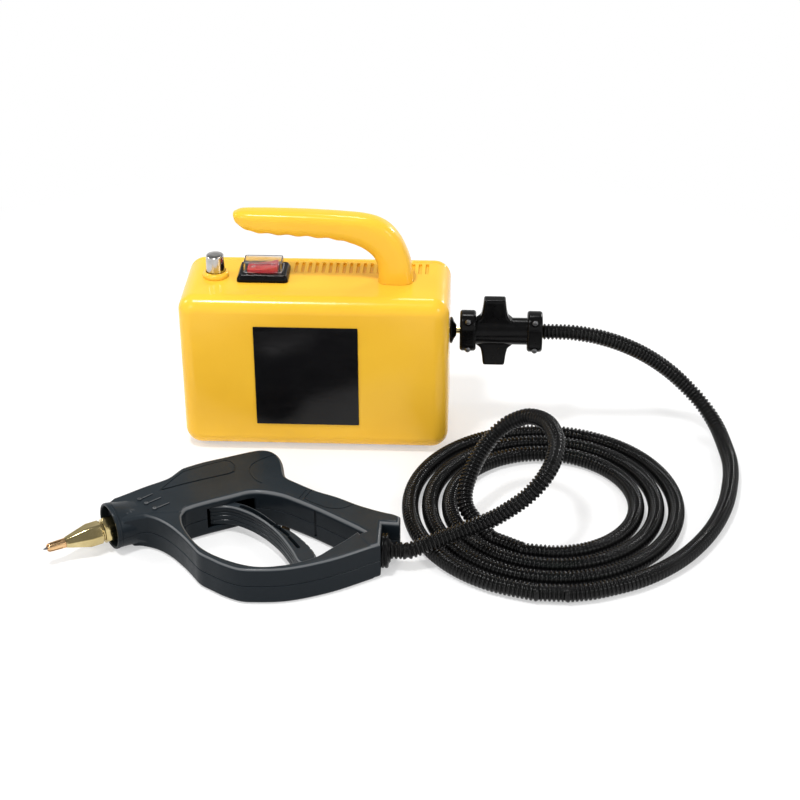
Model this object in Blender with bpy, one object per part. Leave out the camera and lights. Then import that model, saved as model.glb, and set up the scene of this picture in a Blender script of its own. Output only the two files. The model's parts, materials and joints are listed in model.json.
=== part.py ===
"""Portable steam cleaner: a box with boiler and handle, a ribbed steam hose and a trigger gun.

Metres, +Z up. The box's front face looks along -Y. The origin is the middle of the footprint
of the box, the coupling and the gun, on the floor that they stand on.
"""
import math

import bmesh
import bpy
from mathutils import Vector

# Fits shared by all pieces
FIT_GAP = 0.0003
CUT_OVERRUN = 0.002
MERGE_DISTANCE = 0.000001

# How finely round pieces are faceted
FINE_SIDES = 18
SMALL_SIDES = 14
ROUND_STEPS = 3
SMOOTH_ANGLE = math.radians(35)

# Turns that lay a piece's own Z along another axis
ALONG_X = (0, math.pi / 2, 0)
ALONG_Y = (-math.pi / 2, 0, 0)
UPRIGHT = (0, 0, 0)
UPSIDE_DOWN = (math.pi, 0, 0)

# Housing: its front face lies at y = 0 and its middle at x = 0 until the last step
BOX_WIDTH = 0.240
BOX_DEPTH = 0.096
BOX_HEIGHT = 0.150
BOX_WALL = 0.0026
BOX_EDGE_RADIUS = 0.0135
BOX_CORNER_RADIUS = 0.0150
COVER_DEPTH = 0.0120
COVER_EDGE_RADIUS = 0.0095
LIP_LENGTH = 0.0050
LIP_WALL = 0.0020

# Feet and the posts that the rear cover is screwed to
FOOT_HEIGHT = 0.0030
FOOT_RADIUS = 0.0065
FOOT_INSET_X = 0.0300
FOOT_INSET_Y = 0.0240
POST_RADIUS = 0.0045
POST_INSET = 0.0160
PILOT_DEPTH = 0.0140

# Screws: shank radius, head radius, head height
COVER_SCREW_SHANK = 0.0015
COVER_SCREW_HEAD = 0.0030
COVER_SCREW_HEAD_HEIGHT = 0.0020

# Air slots along the back of the top
SLOT_PITCH = 0.00625
SLOT_WIDTH = 0.0026
SLOT_LENGTH = 0.0210
SLOT_SWITCH_GAP = 0.00455
SLOT_END_INSET = 0.02125
SLOT_BACK_INSET = 0.0035

# Filler: collar, neck, seal and cap on one upright axis
FILLER_INSET = 0.0294
FILLER_Y = 0.0500
COLLAR_RADIUS = 0.01175
COLLAR_HEIGHT = 0.0048
NECK_RADIUS = 0.0083
NECK_BORE = 0.0050
SEAL_RADIUS = 0.0076
SEAL_HEIGHT = 0.0015
CAP_RADIUS = 0.00845
CAP_HEIGHT = 0.0142
CAP_EDGE = 0.0009
CAP_SPIGOT_LENGTH = 0.0110

# Switch: frame, body, rocker and clear boot
SWITCH_INSET = 0.07245
SWITCH_Y = 0.0525
FRAME_WIDTH = 0.0459
FRAME_DEPTH = 0.0330
FRAME_HEIGHT = 0.0065
FRAME_SLOPE = 0.0018
FRAME_BORDER = 0.0060
FRAME_CORNER = 0.0030
SWITCH_BODY_DROP = 0.0220
SWITCH_BODY_WALL = 0.0020
ROCKER_LENGTH = 0.0270
ROCKER_WIDTH = 0.0150
ROCKER_CROWN = 0.0052
ROCKER_SINK = 0.0018
ROCKER_PIN = 0.0012
ROCKER_DIP = 0.0012
ROCKER_HUB = 0.0045
ROCKER_ANGLE = math.radians(8)
BOOT_WIDTH = 0.0360
BOOT_DEPTH = 0.0200
BOOT_HEIGHT = 0.0085
BOOT_WALL = 0.0009
BOOT_DRAFT = 0.0008

# Label plate on the front
PLATE_WIDTH = 0.0927
PLATE_HEIGHT = 0.0988
PLATE_THICKNESS = 0.0006
PLATE_CORNER = 0.0008
PLATE_OFFSET_X = -0.0066
PLATE_MIDDLE_Z = 0.0786

# Carrying handle: one foot near the right end, free end to the left
HANDLE_FOOT_INSET = 0.0488
HANDLE_FOOT_WIDTH = 0.0312
HANDLE_DEPTH = 0.0240
HANDLE_REACH_ROOM = 0.0970
HANDLE_RISE = 0.0655
HANDLE_GRIP_WAVE = 0.0011
HANDLE_SIDES = 14
HANDLE_SCREW_SPREAD = 0.0150
HANDLE_SCREW_SHANK = 0.0020
HANDLE_SCREW_HEAD = 0.0038
HANDLE_SCREW_HEAD_HEIGHT = 0.0024
HANDLE_SCREW_LENGTH = 0.0140
# Upper and lower edge of the side view, in pairs from the foot to the free end. The first
# number is a share of the reach to the left of the foot's middle, the second of the rise.
HANDLE_EDGE_SHARES = (
    ((-0.112, 0.000), (0.109, 0.000)),
    ((-0.109, 0.090), (0.108, 0.100)),
    ((-0.098, 0.270), (0.110, 0.205)),
    ((-0.072, 0.450), (0.122, 0.310)),
    ((-0.030, 0.640), (0.148, 0.400)),
    ((0.030, 0.800), (0.195, 0.485)),
    ((0.105, 0.900), (0.250, 0.545)),
    ((0.200, 0.950), (0.315, 0.588)),
    ((0.320, 0.973), (0.390, 0.620)),
    ((0.460, 0.990), (0.490, 0.650)),
    ((0.600, 1.000), (0.600, 0.675)),
    ((0.740, 1.006), (0.730, 0.700)),
    ((0.860, 1.006), (0.840, 0.725)),
    ((0.940, 0.998), (0.912, 0.768)),
    ((0.985, 0.965), (0.965, 0.845)),
)
# How deep, front to back, the handle is at those pairs, as a share of its full depth
HANDLE_DEPTH_SHARES = (1.0, 1.0, 1.0, 1.0, 1.0, 1.0, 0.99, 0.98, 0.97, 0.96, 0.95, 0.93, 0.88, 0.74, 0.45)
# Where along the pairs the finger waves begin and end
HANDLE_WAVE_FROM = 7
HANDLE_WAVE_TO = 13

# Boiler and what sits on it
TANK_RADIUS = 0.0310
TANK_WALL = 0.0030
TANK_LEFT_INSET = 0.0130
TANK_RIGHT_INSET = 0.0900
TANK_DOME = 0.0120
TANK_AXIS_Z = 0.0750
TANK_RIM_RADIUS = 0.0350
TANK_RIM_LENGTH = 0.0040
GASKET_THICKNESS = 0.0015
HEATER_FLANGE_THICKNESS = 0.0045
HEATER_ROD_RADIUS = 0.0032
HEATER_ROD_SPREAD = 0.0140
HEATER_ROD_ROOM = 0.0370
HEATER_TERMINAL = 0.0120
SADDLE_WIDTH = 0.0480
SADDLE_THICKNESS = 0.0090
SADDLE_FOOT = 0.0080
SADDLE_LEFT_OFFSET = 0.0320
SADDLE_RIGHT_OFFSET = 0.0250
SADDLE_ARC_HALF = math.radians(42)
THERMOSTAT_SHARE = 0.65
THERMOSTAT_RADIUS = 0.0080
THERMOSTAT_HEIGHT = 0.0060
STEAM_PORT_OFFSET = 0.0180
STEAM_PIPE_RADIUS = 0.0030
STEAM_PIPE_RISE = 0.0140

# Outlet on the right side, on an axis along X
OUTLET_Z = 0.1030
OUTLET_FLANGE_RADIUS = 0.0090
OUTLET_FLANGE_LENGTH = 0.0050
OUTLET_TAIL_LENGTH = 0.0080
STUB_RADIUS = 0.0030
STUB_BORE = 0.0016
STUB_REACH = 0.0320
OUTLET_THREAD_RADIUS = 0.0060
CONE_RADIUS = 0.0123
CONE_TIP_RADIUS = 0.0048
CONE_RIM = 0.0012
CONE_LENGTH = 0.0062

# Hose coupling: collar, barrel with two wings, collar
COUPLING_STANDOFF = 0.0093
LEFT_COLLAR_LENGTH = 0.0147
COUPLING_LENGTH = 0.0746
RIGHT_COLLAR_LENGTH = 0.0139
COLLAR_BLOCK_HEIGHT = 0.0368
COLLAR_BLOCK_DEPTH = 0.0280
COLLAR_BLOCK_CORNER = 0.0120
COLLAR_BLOCK_ROUND = 0.0022
BARREL_RADIUS = 0.0123
WING_TIP_HALF_WIDTH = 0.0100
WING_ROOT_HALF_WIDTH = 0.0152
WING_OFFSET = 0.0311
WING_REACH = 0.0328
WING_THICKNESS = 0.0120
WING_ROUND = 0.0020
COUPLING_CAVITY_RADIUS = 0.0092
COUPLING_LEFT_BORE = 0.0040
COUPLING_RIGHT_BORE = 0.0078
CLAMP_SCREW_OFFSET = 0.0139
CLAMP_SCREW_SHANK = 0.0013
CLAMP_SCREW_HEAD = 0.0026
CLAMP_SCREW_HEAD_HEIGHT = 0.0018
CLAMP_SCREW_SINK = 0.0012
UNION_NUT_LENGTH = 0.0140
TAIL_FLANGE_LENGTH = 0.0060
TAIL_SHOULDER_RADIUS = 0.0074
TAIL_BARB_RADIUS = 0.0036
TAIL_BARB_LENGTH = 0.0180

# Mains inlet on the rear cover
INLET_INSET = 0.0500
INLET_Z = 0.0360
INLET_FLANGE_RADIUS = 0.0090
INLET_FLANGE_LENGTH = 0.0030
INLET_NECK_RADIUS = 0.0062
INLET_BORE = 0.0036
INLET_REACH = 0.0130

# Ribbed hose
HOSE_DIAMETER = 0.0144
HOSE_VALLEY_SHARE = 0.84
HOSE_BORE_RADIUS = 0.0047
HOSE_FLOOR_GAP = 0.0003
RIB_PITCH = 0.0260
# Coil on the floor: it starts at the front and spirals inward, clockwise from above
COIL_MIDDLE_OFFSET = 0.0890
COIL_MIDDLE_Y = -0.0910
COIL_HALF_DEPTH = 0.1297
COIL_HALF_WIDTH = 0.1234
COIL_STEP = 0.0184
COIL_WIDTH_STEP = 0.0172
COIL_TURNS = 3.08
COIL_POINTS_PER_TURN = 36
# Routes through the air, chosen by hand: how far each point is to the right of the outlet's
# face, then its depth and height, in metres
HOSE_DROP_ROUTE = (
    (0.1140, 0.0484, 0.1020),
    (0.1360, 0.0505, 0.0970),
    (0.1590, 0.0545, 0.0873),
    (0.1810, 0.0585, 0.0742),
    (0.2020, 0.0600, 0.0585),
    (0.2200, 0.0570, 0.0425),
    (0.2350, 0.0480, 0.0285),
    (0.2460, 0.0320, 0.0170),
    (0.2525, 0.0090, 0.0095),
    (0.2545, -0.0180, 0.0077),
    (0.2510, -0.0500, 0.0075),
    (0.2410, -0.0900, 0.0075),
    (0.2235, -0.1310, 0.0075),
    (0.1980, -0.1680, 0.0075),
    (0.1650, -0.1970, 0.0075),
    (0.1280, -0.2150, 0.0075),
)
HOSE_LEAD_ROUTE = (
    (0.0390, -0.1450, 0.0085),
    (0.0270, -0.1300, 0.0140),
    (0.0185, -0.1185, 0.0210),
    (0.0172, -0.1080, 0.0300),
    (0.0208, -0.0965, 0.0385),
    (0.0273, -0.0830, 0.0480),
    (0.0364, -0.0705, 0.0570),
    (0.0457, -0.0640, 0.0650),
    (0.0565, -0.0630, 0.0735),
    (0.0719, -0.0700, 0.0830),
    (0.0870, -0.0904, 0.0880),
    (0.0925, -0.1220, 0.0875),
    (0.0865, -0.1480, 0.0795),
    (0.0704, -0.1645, 0.0650),
    (0.0466, -0.1687, 0.0470),
    (0.0278, -0.1685, 0.0360),
    (0.0098, -0.1705, 0.0285),
    (-0.0060, -0.1740, 0.0235),
    (-0.0170, -0.1770, 0.0200),
)

# Where the hose meets the gun: the middle of the gland's outer face
HOSE_END_OFFSET = -0.0426
HOSE_END_Y = -0.1798

# Gun, drawn upright in its own frame: muzzle to the left at (0, 0), top up, then laid on
# its side on the floor. Its outlines are shares of its length and height.
GUN_LENGTH = 0.2100
GUN_HEIGHT = 0.1960
GUN_THICKNESS = 0.0340
GUN_WALL = 0.0026
GUN_ROUND = 0.0055
GUARD_THICKNESS = 0.0300
GUARD_ROUND = 0.0014
GUN_TURN = math.radians(33.3)
GUN_TOP_SHARES = (
    (0.000, 0.082), (0.060, 0.097), (0.150, 0.118), (0.243, 0.143), (0.340, 0.168),
    (0.405, 0.182), (0.452, 0.193), (0.505, 0.193), (0.620, 0.178), (0.715, 0.155),
    (0.765, 0.122), (0.788, 0.074), (0.785, 0.022), (0.762, -0.035), (0.742, -0.090),
    (0.752, -0.155), (0.790, -0.262), (0.838, -0.378), (0.885, -0.477), (0.938, -0.575),
    (0.985, -0.640),
)
GUN_BUTT_SHARES = (
    (0.993, -0.662), (0.955, -0.718), (0.900, -0.670), (0.818, -0.805), (0.762, -0.802),
    (0.762, -0.740),
)
# Upper and rear edge of the finger opening, from its lower rear corner to its front corner
GUN_UNDER_SHARES = (
    (0.808, -0.684), (0.771, -0.571), (0.724, -0.434), (0.685, -0.337), (0.650, -0.262),
    (0.600, -0.200), (0.548, -0.168), (0.476, -0.160), (0.360, -0.148), (0.285, -0.148),
    (0.240, -0.168),
)
GUN_CHIN_SHARES = ((0.130, -0.110), (0.060, -0.082), (0.000, -0.072))
GUARD_OUTER_SHARES = (
    (0.080, -0.088), (0.129, -0.128), (0.160, -0.184), (0.181, -0.265), (0.188, -0.372),
    (0.188, -0.464), (0.200, -0.531), (0.224, -0.587), (0.276, -0.663), (0.357, -0.727),
    (0.486, -0.788), (0.638, -0.806), (0.780, -0.804),
)
GUARD_INNER_SHARES = (
    (0.780, -0.730), (0.648, -0.758), (0.505, -0.760), (0.381, -0.712), (0.295, -0.643),
    (0.248, -0.571), (0.226, -0.500), (0.221, -0.383), (0.224, -0.255), (0.243, -0.186),
    (0.262, -0.160), (0.262, -0.100), (0.080, -0.040),
)
MOUTH_RADIUS = 0.0130
MOUTH_MIDDLE_SHARE = 0.005
GUN_SCREW_SHARES = ((0.172, -0.125), (0.735, 0.045), (0.700, -0.782))
GUN_POST_RADIUS = 0.0038
GUN_SCREW_SHANK = 0.0012
GUN_SCREW_HEAD = 0.0024
GUN_SCREW_HEAD_HEIGHT = 0.0016
GUN_SCREW_TOP_WALL = 0.0060

# Trigger and its pin, spring and latch
TRIGGER_PIN_SHARE = (0.424, -0.071)
TRIGGER_PIN_RADIUS = 0.0018
TRIGGER_THICKNESS = 0.0190
TRIGGER_ROUND = 0.0012
TRIGGER_SHARES = (
    (0.388, -0.133), (0.457, -0.174), (0.500, -0.250), (0.524, -0.332), (0.535, -0.408),
    (0.538, -0.490), (0.529, -0.602), (0.517, -0.684), (0.533, -0.710), (0.571, -0.712),
    (0.592, -0.684), (0.600, -0.610), (0.594, -0.510), (0.581, -0.444), (0.562, -0.383),
    (0.548, -0.291), (0.524, -0.209), (0.481, -0.133), (0.462, -0.050), (0.436, 0.004),
    (0.400, 0.004), (0.400, -0.071),
)
TRIGGER_SLOT_SHARES = ((0.368, -0.210), (0.572, -0.060))
TRIGGER_SIDE_GAP = 0.0006
LATCH_PIVOT_SHARE = (0.563, -0.400)
LATCH_EYE_RADIUS = 0.0026
LATCH_PIN_RADIUS = 0.0012
LATCH_WIDTH = 0.0080
LATCH_LENGTH = 0.0105
LATCH_BAR = 0.0030
LATCH_REST_ANGLE = math.radians(-62)
LATCH_SLOT_GAP = 0.0006
LATCH_SLOT_OPENING = 0.0150
SPRING_COIL_RADIUS = 0.0032
SPRING_WIRE = 0.0005
SPRING_TURNS = 3
SPRING_LENGTH = 0.0040
SPRING_POINTS_PER_TURN = 8

# Valve line through the gun's head, on the nozzle's axis
VALVE_START_SHARE = 0.1238
VALVE_LENGTH_SHARE = 0.2286
VALVE_NECK_RADIUS = 0.0080
VALVE_COLLAR_LENGTH = 0.0100
VALVE_BORE = 0.0030
PLUNGER_RADIUS = 0.0026
PLUNGER_HEAD_RADIUS = 0.0042
PLUNGER_HEAD_LENGTH = 0.0036
PLUNGER_DEPTH = 0.0180
PLUNGER_TRAVEL_ROOM = 0.0045
BARREL_PIPE_RADIUS = 0.0060
INLET_PIPE_RADIUS = 0.0028
INLET_PIPE_RUN_IN = 0.0026
# Inlet pipe through the grip, as shares of the gun's length and height
INLET_PIPE_SHARES = (
    (0.843, -0.696), (0.853, -0.660), (0.858, -0.600), (0.836, -0.520), (0.793, -0.430), (0.735, -0.300), (0.705, -0.180),
    (0.695, -0.060), (0.650, 0.050), (0.560, 0.105), (0.430, 0.115), (0.340, 0.105), (0.295, 0.075),
    (0.290, 0.045),
)
GLAND_RADIUS = 0.0148
GLAND_LENGTH = 0.0078
GLAND_SPIGOT_RADIUS = 0.0078
GLAND_SPIGOT_LENGTH = 0.0035
GLAND_BORE = 0.0045
GLAND_SEAT_SHARES = ((0.900, -0.670), (0.818, -0.805))

# Nozzle, measured back from the muzzle plane
NOZZLE_NUT_START = -0.0060
NOZZLE_NUT_LENGTH = 0.0160
NOZZLE_NUT_RADIUS = 0.0118
NOZZLE_BODY_RADIUS = 0.0097
NOZZLE_HEX_LENGTH = 0.0135
NOZZLE_CONE_LENGTH = 0.0195
NOZZLE_CONE_TIP_RADIUS = 0.0040
NOZZLE_BORE = 0.0015
TIP_LENGTH = 0.0155
TIP_ROOT_RADIUS = 0.0037
TIP_END_RADIUS = 0.0031
TIP_SLIT_WIDTH = 0.0009
TIP_SLIT_LENGTH = 0.0100
NEEDLE_RADIUS = 0.0009
NEEDLE_REACH = 0.0034

# Finishes: colour, roughness, metallic
YELLOW_PLASTIC = ("yellow_plastic", (0.86, 0.50, 0.025), 0.25, 0.0)
BLACK_PLASTIC = ("black_plastic", (0.012, 0.012, 0.013), 0.35, 0.0)
DARK_PLASTIC = ("dark_plastic", (0.028, 0.032, 0.040), 0.50, 0.0)
GREY_PLASTIC = ("grey_plastic", (0.20, 0.20, 0.20), 0.50, 0.0)
CLEAR_SILICONE = ("clear_silicone", (0.80, 0.80, 0.80), 0.15, 0.0)
RED_PLASTIC = ("red_plastic", (0.60, 0.012, 0.020), 0.25, 0.0)
BLACK_RUBBER = ("black_rubber", (0.020, 0.020, 0.020), 0.70, 0.0)
RED_SILICONE = ("red_silicone", (0.45, 0.06, 0.04), 0.60, 0.0)
CHROME = ("chrome", (0.75, 0.75, 0.76), 0.12, 1.0)
STEEL = ("steel", (0.55, 0.55, 0.56), 0.35, 1.0)
ALUMINIUM = ("aluminium", (0.70, 0.70, 0.72), 0.40, 1.0)
BRASS = ("brass", (0.72, 0.52, 0.20), 0.28, 1.0)
COPPER = ("copper", (0.80, 0.42, 0.24), 0.30, 1.0)

# Heights and depths that several pieces share
BOX_BOTTOM = FOOT_HEIGHT
BOX_TOP = FOOT_HEIGHT + BOX_HEIGHT
BOX_MIDDLE_Z = FOOT_HEIGHT + BOX_HEIGHT / 2
BOX_MIDDLE_Y = BOX_DEPTH / 2
SEAM_Y = BOX_DEPTH - COVER_DEPTH
GUN_MIDDLE_Z = GUN_THICKNESS / 2
HOSE_RADIUS = HOSE_DIAMETER / 2
VALVE_BODY_START = VALVE_START_SHARE * GUN_LENGTH
VALVE_BODY_LENGTH = VALVE_LENGTH_SHARE * GUN_LENGTH

# Places from left to right, each set from the end of the box or the piece that it goes with
OUTLET_FACE_X = BOX_WIDTH / 2
FILLER_X = FILLER_INSET - BOX_WIDTH / 2
SWITCH_X = SWITCH_INSET - BOX_WIDTH / 2
INLET_X = INLET_INSET - BOX_WIDTH / 2
SLOT_FIRST_X = SWITCH_X + FRAME_WIDTH / 2 + SLOT_SWITCH_GAP
SLOT_COUNT = 1 + round((OUTLET_FACE_X - SLOT_END_INSET - SLOT_FIRST_X) / SLOT_PITCH)
HANDLE_FOOT_X = OUTLET_FACE_X - HANDLE_FOOT_INSET
HANDLE_REACH = BOX_WIDTH - HANDLE_REACH_ROOM
TANK_LEFT_X = TANK_LEFT_INSET - BOX_WIDTH / 2
TANK_RIGHT_X = OUTLET_FACE_X - TANK_RIGHT_INSET
SADDLE_LEFT_X = TANK_LEFT_X + SADDLE_LEFT_OFFSET
SADDLE_RIGHT_X = TANK_RIGHT_X - SADDLE_RIGHT_OFFSET
THERMOSTAT_X = TANK_LEFT_X + (TANK_RIGHT_X - TANK_LEFT_X) * THERMOSTAT_SHARE
STEAM_PORT_X = TANK_RIGHT_X - STEAM_PORT_OFFSET
HEATER_ROD_REACH = TANK_RIGHT_X - TANK_LEFT_X - HEATER_ROD_ROOM
COUPLING_START_X = OUTLET_FACE_X + COUPLING_STANDOFF
COIL_MIDDLE_X = OUTLET_FACE_X + COIL_MIDDLE_OFFSET
HOSE_END_X = OUTLET_FACE_X + HOSE_END_OFFSET


# Building blocks

def finish_material(finish):
    """One Principled material, made once and shared by the pieces that name it."""
    name, colour, roughness, metallic = finish
    found = bpy.data.materials.get(name)
    if found:
        return found
    material = bpy.data.materials.new(name)
    material.use_nodes = True
    shader = material.node_tree.nodes["Principled BSDF"]
    shader.inputs["Base Color"].default_value = (*colour, 1)
    shader.inputs["Roughness"].default_value = roughness
    shader.inputs["Metallic"].default_value = metallic
    return material


def add_object(name, mesh, finish, parent, location=(0, 0, 0), rotation=UPRIGHT):
    """A named object with its own finish, shaded smooth where its faces meet softly."""
    piece = bpy.data.objects.new(name, mesh)
    bpy.context.scene.collection.objects.link(piece)
    piece.parent = parent
    piece.location = location
    piece.rotation_euler = rotation
    material = finish_material(finish).copy()
    material.name = name + "_finish"
    mesh.materials.append(material)
    mesh.shade_smooth()
    mesh.set_sharp_from_angle(angle=SMOOTH_ANGLE)
    return piece


def add_cutter(name, mesh, parent, location=(0, 0, 0), rotation=UPRIGHT):
    """A body that only shapes its neighbours."""
    cutter = bpy.data.objects.new(name, mesh)
    bpy.context.scene.collection.objects.link(cutter)
    cutter.parent = parent
    cutter.location = location
    cutter.rotation_euler = rotation
    cutter.hide_render = True
    cutter.display_type = "WIRE"
    return cutter


def add_empty(name, parent, location=(0, 0, 0), rotation=UPRIGHT):
    empty = bpy.data.objects.new(name, None)
    bpy.context.scene.collection.objects.link(empty)
    empty.parent = parent
    empty.location = location
    empty.rotation_euler = rotation
    return empty


def shape_with(piece, other, operation="DIFFERENCE"):
    modifier = piece.modifiers.new(other.name, "BOOLEAN")
    modifier.operation = operation
    modifier.solver = "EXACT"
    modifier.object = other


def mesh_from(name, points, faces):
    """A mesh whose faces all point outward."""
    mesh = bpy.data.meshes.new(name)
    mesh.from_pydata([tuple(point) for point in points], [], faces)
    work = bmesh.new()
    work.from_mesh(mesh)
    bmesh.ops.recalc_face_normals(work, faces=work.faces)
    work.to_mesh(mesh)
    work.free()
    return mesh


def skin(name, rings, closed_tube=False):
    """Joins rings of equal count into one closed body: flat ends, or a tube bent into a ring."""
    count = len(rings[0])
    points = [point for ring in rings for point in ring]
    faces = []
    last = len(rings) if closed_tube else len(rings) - 1
    for index in range(last):
        start = index * count
        after = ((index + 1) % len(rings)) * count
        for side in range(count):
            beside = (side + 1) % count
            faces.append((start + side, start + beside, after + beside, after + side))
    if not closed_tube:
        faces.append(tuple(range(count)))
        faces.append(tuple(range(len(points) - count, len(points))))
    return mesh_from(name, points, faces)


def turned(name, profile, sides=SMALL_SIDES, bored=False):
    """Turns (radius, height) points about Z: a solid between two flat ends, or one with a bore."""
    rings = []
    for radius, height in profile:
        ring = []
        for side in range(sides):
            angle = 2 * math.pi * side / sides
            ring.append((radius * math.cos(angle), radius * math.sin(angle), height))
        rings.append(ring)
    return skin(name, rings, closed_tube=bored)


def hexagon_bar(name, radius, length, bore):
    """A hexagonal bar along Z, bored so that a round piece of that radius fits through."""
    rings = []
    inner = bore / math.cos(math.pi / 6)
    for reach, height in ((radius, 0), (radius, length), (inner, length), (inner, 0)):
        rings.append([
            (reach * math.cos(math.pi * side / 3), reach * math.sin(math.pi * side / 3), height)
            for side in range(6)
        ])
    return skin(name, rings, closed_tube=True)


def rounded_rectangle(width, height, radius, steps=ROUND_STEPS):
    """Points of a rounded rectangle round (0, 0)."""
    points = []
    for quarter, (side_x, side_y) in enumerate(((1, 1), (-1, 1), (-1, -1), (1, -1))):
        for step in range(steps + 1):
            angle = math.pi / 2 * (quarter + step / steps)
            points.append((
                side_x * (width / 2 - radius) + radius * math.cos(angle),
                side_y * (height / 2 - radius) + radius * math.sin(angle),
            ))
    return points


def box_mesh(name, low, high):
    """A box between two corners."""
    points = [(x, y, z) for x in (low[0], high[0]) for y in (low[1], high[1]) for z in (low[2], high[2])]
    faces = [(0, 1, 3, 2), (4, 6, 7, 5), (0, 4, 5, 1), (2, 3, 7, 6), (0, 2, 6, 4), (1, 5, 7, 3)]
    return mesh_from(name, points, faces)


def joined_mesh(name, parts):
    """Several closed bodies in one mesh, for a cutter: each part is (mesh, offset)."""
    work = bmesh.new()
    for mesh, offset in parts:
        known = len(work.verts)
        work.from_mesh(mesh)
        work.verts.ensure_lookup_table()
        bmesh.ops.translate(work, verts=work.verts[known:], vec=offset)
    result = bpy.data.meshes.new(name)
    work.to_mesh(result)
    work.free()
    return result


def inset(outline, distance):
    """Moves an outline's points inward by a distance, along the bisector of each corner."""
    area = 0
    for index, (x, y) in enumerate(outline):
        after_x, after_y = outline[(index + 1) % len(outline)]
        area += x * after_y - after_x * y
    turn = 1 if area > 0 else -1
    moved = []
    for index, point in enumerate(outline):
        here = Vector(point)
        before = (here - Vector(outline[index - 1])).normalized()
        after = (Vector(outline[(index + 1) % len(outline)]) - here).normalized()
        inward_before = Vector((-before.y, before.x)) * turn
        inward_after = Vector((-after.y, after.x)) * turn
        middle = (inward_before + inward_after).normalized()
        moved.append(here + middle * distance / max(middle.dot(inward_after), 0.5))
    return [tuple(point) for point in moved]


def slab(name, outline, low, high, rounding=0, steps=ROUND_STEPS):
    """An outline in XY raised from low to high, its outer edges rounded."""
    rings = []
    if rounding:
        for step in range(steps + 1):
            angle = math.pi / 2 * step / steps
            level = low + rounding * (1 - math.cos(angle))
            rings.append((inset(outline, rounding * (1 - math.sin(angle))), level))
        for step in range(steps, -1, -1):
            angle = math.pi / 2 * step / steps
            level = high - rounding * (1 - math.cos(angle))
            rings.append((inset(outline, rounding * (1 - math.sin(angle))), level))
    else:
        rings = [(outline, low), (outline, high)]
    return skin(name, [[(x, y, level) for x, y in points] for points, level in rings])


def evaluated_copy(name, piece):
    """The mesh of an object as its modifiers leave it, in the object's own frame."""
    bpy.context.view_layer.update()
    graph = bpy.context.evaluated_depsgraph_get()
    mesh = bpy.data.meshes.new_from_object(piece.evaluated_get(graph))
    mesh.name = name
    return mesh


def screw_mesh(name, shank, length, head, head_height):
    """A screw along Z: its head's top at 0, its shank reaching down to minus its length."""
    return turned(name, (
        (head * 0.8, 0),
        (head, -head_height * 0.4),
        (head, -head_height),
        (shank, -head_height),
        (shank, -length),
    ), sides=8)


# Housing

def housing_rings(start_y, straight_y, edge, wall):
    """Rings of the tub from its front face back, drawn in by the wall."""
    rings = []
    for step in range(ROUND_STEPS + 2):
        angle = math.pi / 2 * step / (ROUND_STEPS + 1)
        drawn_in = wall + edge * (1 - math.sin(angle))
        level = start_y + edge * (1 - math.cos(angle))
        rings.append(housing_ring(drawn_in, level))
    rings.append(housing_ring(wall, straight_y))
    return rings


def housing_ring(drawn_in, level_y):
    corner = BOX_CORNER_RADIUS - drawn_in
    outline = rounded_rectangle(
        BOX_WIDTH - 2 * drawn_in, BOX_HEIGHT - 2 * drawn_in, corner, steps=ROUND_STEPS + 1)
    return [(x, level_y, z + BOX_MIDDLE_Z) for x, z in outline]


def post_places():
    """Middles of the four screw posts, in X and Z."""
    reach_x = BOX_WIDTH / 2 - POST_INSET
    reach_z = BOX_HEIGHT / 2 - POST_INSET
    return [
        (side_x * reach_x, BOX_MIDDLE_Z + side_z * reach_z)
        for side_x in (-1, 1) for side_z in (-1, 1)
    ]


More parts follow.
